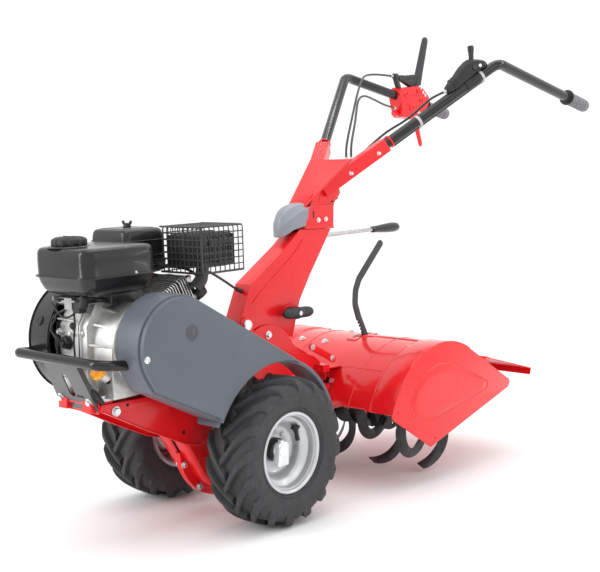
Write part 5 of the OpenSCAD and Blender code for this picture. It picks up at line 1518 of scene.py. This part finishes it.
def blade(bm, place, out):
    """Broad hooked blade: flat against its flange, leaning outward, with a turned tip."""
    n = 22
    rings = []
    for i in range(n + 1):
        t = i / n
        p = tine_mid(t)
        d = (tine_mid(min(t + 0.02, 1)) - tine_mid(max(t - 0.02, 0))).normalized()
        lean = max(0.0, (t - 0.35) / 0.65)
        p.x = out * 20 * lean ** 1.6
        wide = Matrix.Rotation(math.radians(-62 * lean * out), 3, d) @ Vector((0, d.z, -d.y))
        thick = d.cross(wide)
        w = lerp(15, 13, t) * (1 if i < n else 0.9)
        e = 2.5 - 1.2 * lean
        rings.append([p + wide * u * w + thick * v * e for u, v in
                      ((-1, -0.5), (-0.92, -1), (0.8, -1), (1, -0.25), (1, 0.25), (0.8, 1),
                       (-0.92, 1), (-1, 0.5))])
    loft(bm, rings, place)


def tines():
    bm, bolts = bmesh.new(), bmesh.new()
    for f, x in enumerate(FLANGES):
        for i in range(4):
            out = 1 if i % 2 == 0 else -1
            turn = Matrix.Rotation(math.radians(90 * i + 22.5 * f), 4, "X")
            place = Matrix.Translation((x + out * 6, ROTOR_Y, ROTOR_Z)) @ turn
            blade(bm, place, out)
            for r in (44, 57):
                hex_bolt(bolts, (out * 2.6, r, -r * 0.02), (out, 0, 0), 6, 4.6, 1.4, place)
    piece("tines_shape", bm, TINE, "tines", smooth=40)
    piece("tine_bolts", bolts, TINE, smooth=30, body="rotor")
    soften("tine_flanges", TINE, 0.8, 2, 24)


hood()
hood_ends()
flap()
frame_strip()
tines()
# The chain case with its bolted flange band shows under the hood's front edge
soften("tine_case", BLACK, 1.6, 3, 24)


# ------------------------------------------------------------------ control cables

CABLE_R = 3.0
CABLE_ROUTES = {
    "clutch_cable": ((-14, 478, 806), (-32, 500, 850), (-70, 570, 930), (-108, 640, 1000),
                     (-150, 712, 1044), (-196, 790, 1066), (-228, 880, 1078), (-246, 985, 1083)),
    "reverse_cable": ((-4, 486, 806), (-16, 500, 850), (-52, 560, 915), (-90, 620, 975),
                      (-125, 690, 996), (-170, 790, 996), (-215, 900, 990), (-244, 996, 986)),
    "throttle_cable": ((28, 462, 808), (48, 490, 842), (74, 532, 882), (104, 579, 916),
                       (136, 596, 946), (160, 608, 968), (184, 637, 987))}


def cord(name, path, **how):
    """A cable, drawn as a tube along the given path between its two ends."""
    bm = bmesh.new()
    tube(bm, path, CABLE_R, 14)
    obj = piece(name, bm, CABLE, **how)


def cables():
    ends = bmesh.new()
    for name, route in CABLE_ROUTES.items():
        path = smooth_path(route, 10)
        cord(name, path, node="cables" if name == "clutch_cable" else None, body="handlebar", smooth=50)
        for a, b, r in ((0, 2, 5.2), (-3, -1, 4.6)):
            lathe(ends, [(3, -2), (r, -1.4), (r, 7), (r - 1, 8), (r - 1, 13), (3, 14)],
                  at(path[a], path[b] - path[a]), 20)
    piece("cable_ferrules", ends, PALE_SLEEVE, smooth=40, body="handlebar")
    # Wire strapped under the left tube, with its two straps
    bm = bmesh.new()
    path = [arm(s) + ARM_SIDE * 16.6 for s in (206, 260, 330, 400, 450, 500, 512)]
    tube(bm, smooth_path(path, 6), 2.8, 12)
    piece("strapped_wire", bm, CABLE, smooth=50, body="handlebar")
    bm = bmesh.new()
    for s in (300, 514):
        lathe(bm, [(14, -4), (15, -3.4), (15, 3.4), (14, 4)], at(arm(s) + ARM_SIDE * 1.2, ARM_DIR), 40)
        lathe(bm, [(3.6, -5), (4.2, -4.4), (4.2, 4.4), (3.6, 5)], at(arm(s) + ARM_SIDE * 17, ARM_DIR), 20)
    piece("wire_straps", bm, PALE_SLEEVE, smooth=40, body="handlebar")


def engine_wire():
    path = smooth_path([(40, -78, 556), (34, -50, 548), (20, 0, 528), (8, 38, 512), (3, 57, 505)], 8)
    cord("engine_cable_shape", path, node="engine_cable", smooth=45)
    bm = bmesh.new()
    turned_shell(bm, [(4.2, 0), (5.6, 0), (5.6, 3), (5, 4), (5, 22), (4.2, 22)],
                 at((1, 76, 497.6), (0.1, -0.93, 0.35)), 20)
    piece("engine_cable_sleeve", bm, CABLE, smooth=45, body="column")


cables()
engine_wire()


# ------------------------------------------------------------------ CAD shapes with softer edges

for node, material in {"drive_case": RED, "engine_pulley": STEEL, "gearbox_pulley": STEEL,
                       "drive_belt": BELT_RUBBER, "idler_arm": ZINC, "idler_pulley": BLACK_PLASTIC,
                       "crankshaft": STEEL, "axle": STEEL, "tine_shaft": TINE}.items():
    soften(node, material)


# ------------------------------------------------------------------ floor, light and camera

def floor():
    """A wide white studio floor."""
    bm = bmesh.new()
    spread = [(-14000, -14000, 0), (14000, -14000, 0), (14000, 14000, 0), (-14000, 14000, 0)]
    bm.faces.new([bm.verts.new(p) for p in spread])
    mesh = bpy.data.meshes.new("floor")
    bm.to_mesh(mesh)
    bm.free()
    mesh.transform(Matrix.Scale(0.001, 4))
    m = Nodes("floor_white")
    m.set("Base Color", m.ramp(m.noise(0.8), 0.3, 0.7, (0.925, 0.925, 0.925), (0.935, 0.935, 0.935)))
    m.set("Roughness", m.ramp(m.noise(4.0), 0.3, 0.7, 0.55, 0.65))
    m.set("Specular IOR Level", 0.3)
    mesh.materials.append(m.material)
    obj = bpy.data.objects.new("floor", mesh)
    bpy.context.scene.collection.objects.link(obj)


def area_light(name, place, aim, size, power, size_y=None):
    data = bpy.data.lights.new(name, "AREA")
    data.shape = "RECTANGLE"
    data.size = size
    data.size_y = size_y or size
    data.energy = power
    obj = bpy.data.objects.new(name, data)
    obj.location = place
    obj.rotation_euler = (Vector(aim) - Vector(place)).to_track_quat("-Z", "Y").to_euler()
    bpy.context.scene.collection.objects.link(obj)


def lights():
    world = bpy.data.worlds.new("studio")
    world.use_nodes = True
    back = world.node_tree.nodes["Background"]
    back.inputs[0].default_value = (1, 1, 1, 1)
    back.inputs[1].default_value = 1.08
    bpy.context.scene.world = world
    bpy.context.scene.view_settings.view_transform = "Standard"
    area_light("top", (0.2, -0.3, 3.4), (0, 0, 0.4), 2.4, 34, 3.0)
    area_light("long_strip", (0.9, 1.4, 2.1), (0, 1.2, 0.6), 0.08, 18, 5.0)
    area_light("tall_strip", (-0.9, -2.6, 1.2), (0, -0.3, 0.6), 0.12, 16, 2.0)
    area_light("front_left", (-1.6, -3.6, 2.0), (0, 0, 0.5), 1.8, 22)
    area_light("right_side", (3.4, 0.4, 1.8), (0, 0.1, 0.5), 1.6, 10)


def camera():
    """Stands where the photograph was taken from: a little above the handlebar's height."""
    data = bpy.data.cameras.new("camera")
    data.sensor_fit = "HORIZONTAL"
    data.sensor_width = 36
    data.lens = 65.09
    data.clip_start = 0.1
    data.clip_end = 60
    obj = bpy.data.objects.new("camera", data)
    obj.location = (1.77965, -2.12478, 0.72597)
    obj.rotation_euler = (math.radians(90 - 4.8897), 0, math.radians(41.712))
    bpy.context.scene.collection.objects.link(obj)
    bpy.context.scene.camera = obj


floor()
lights()
camera()
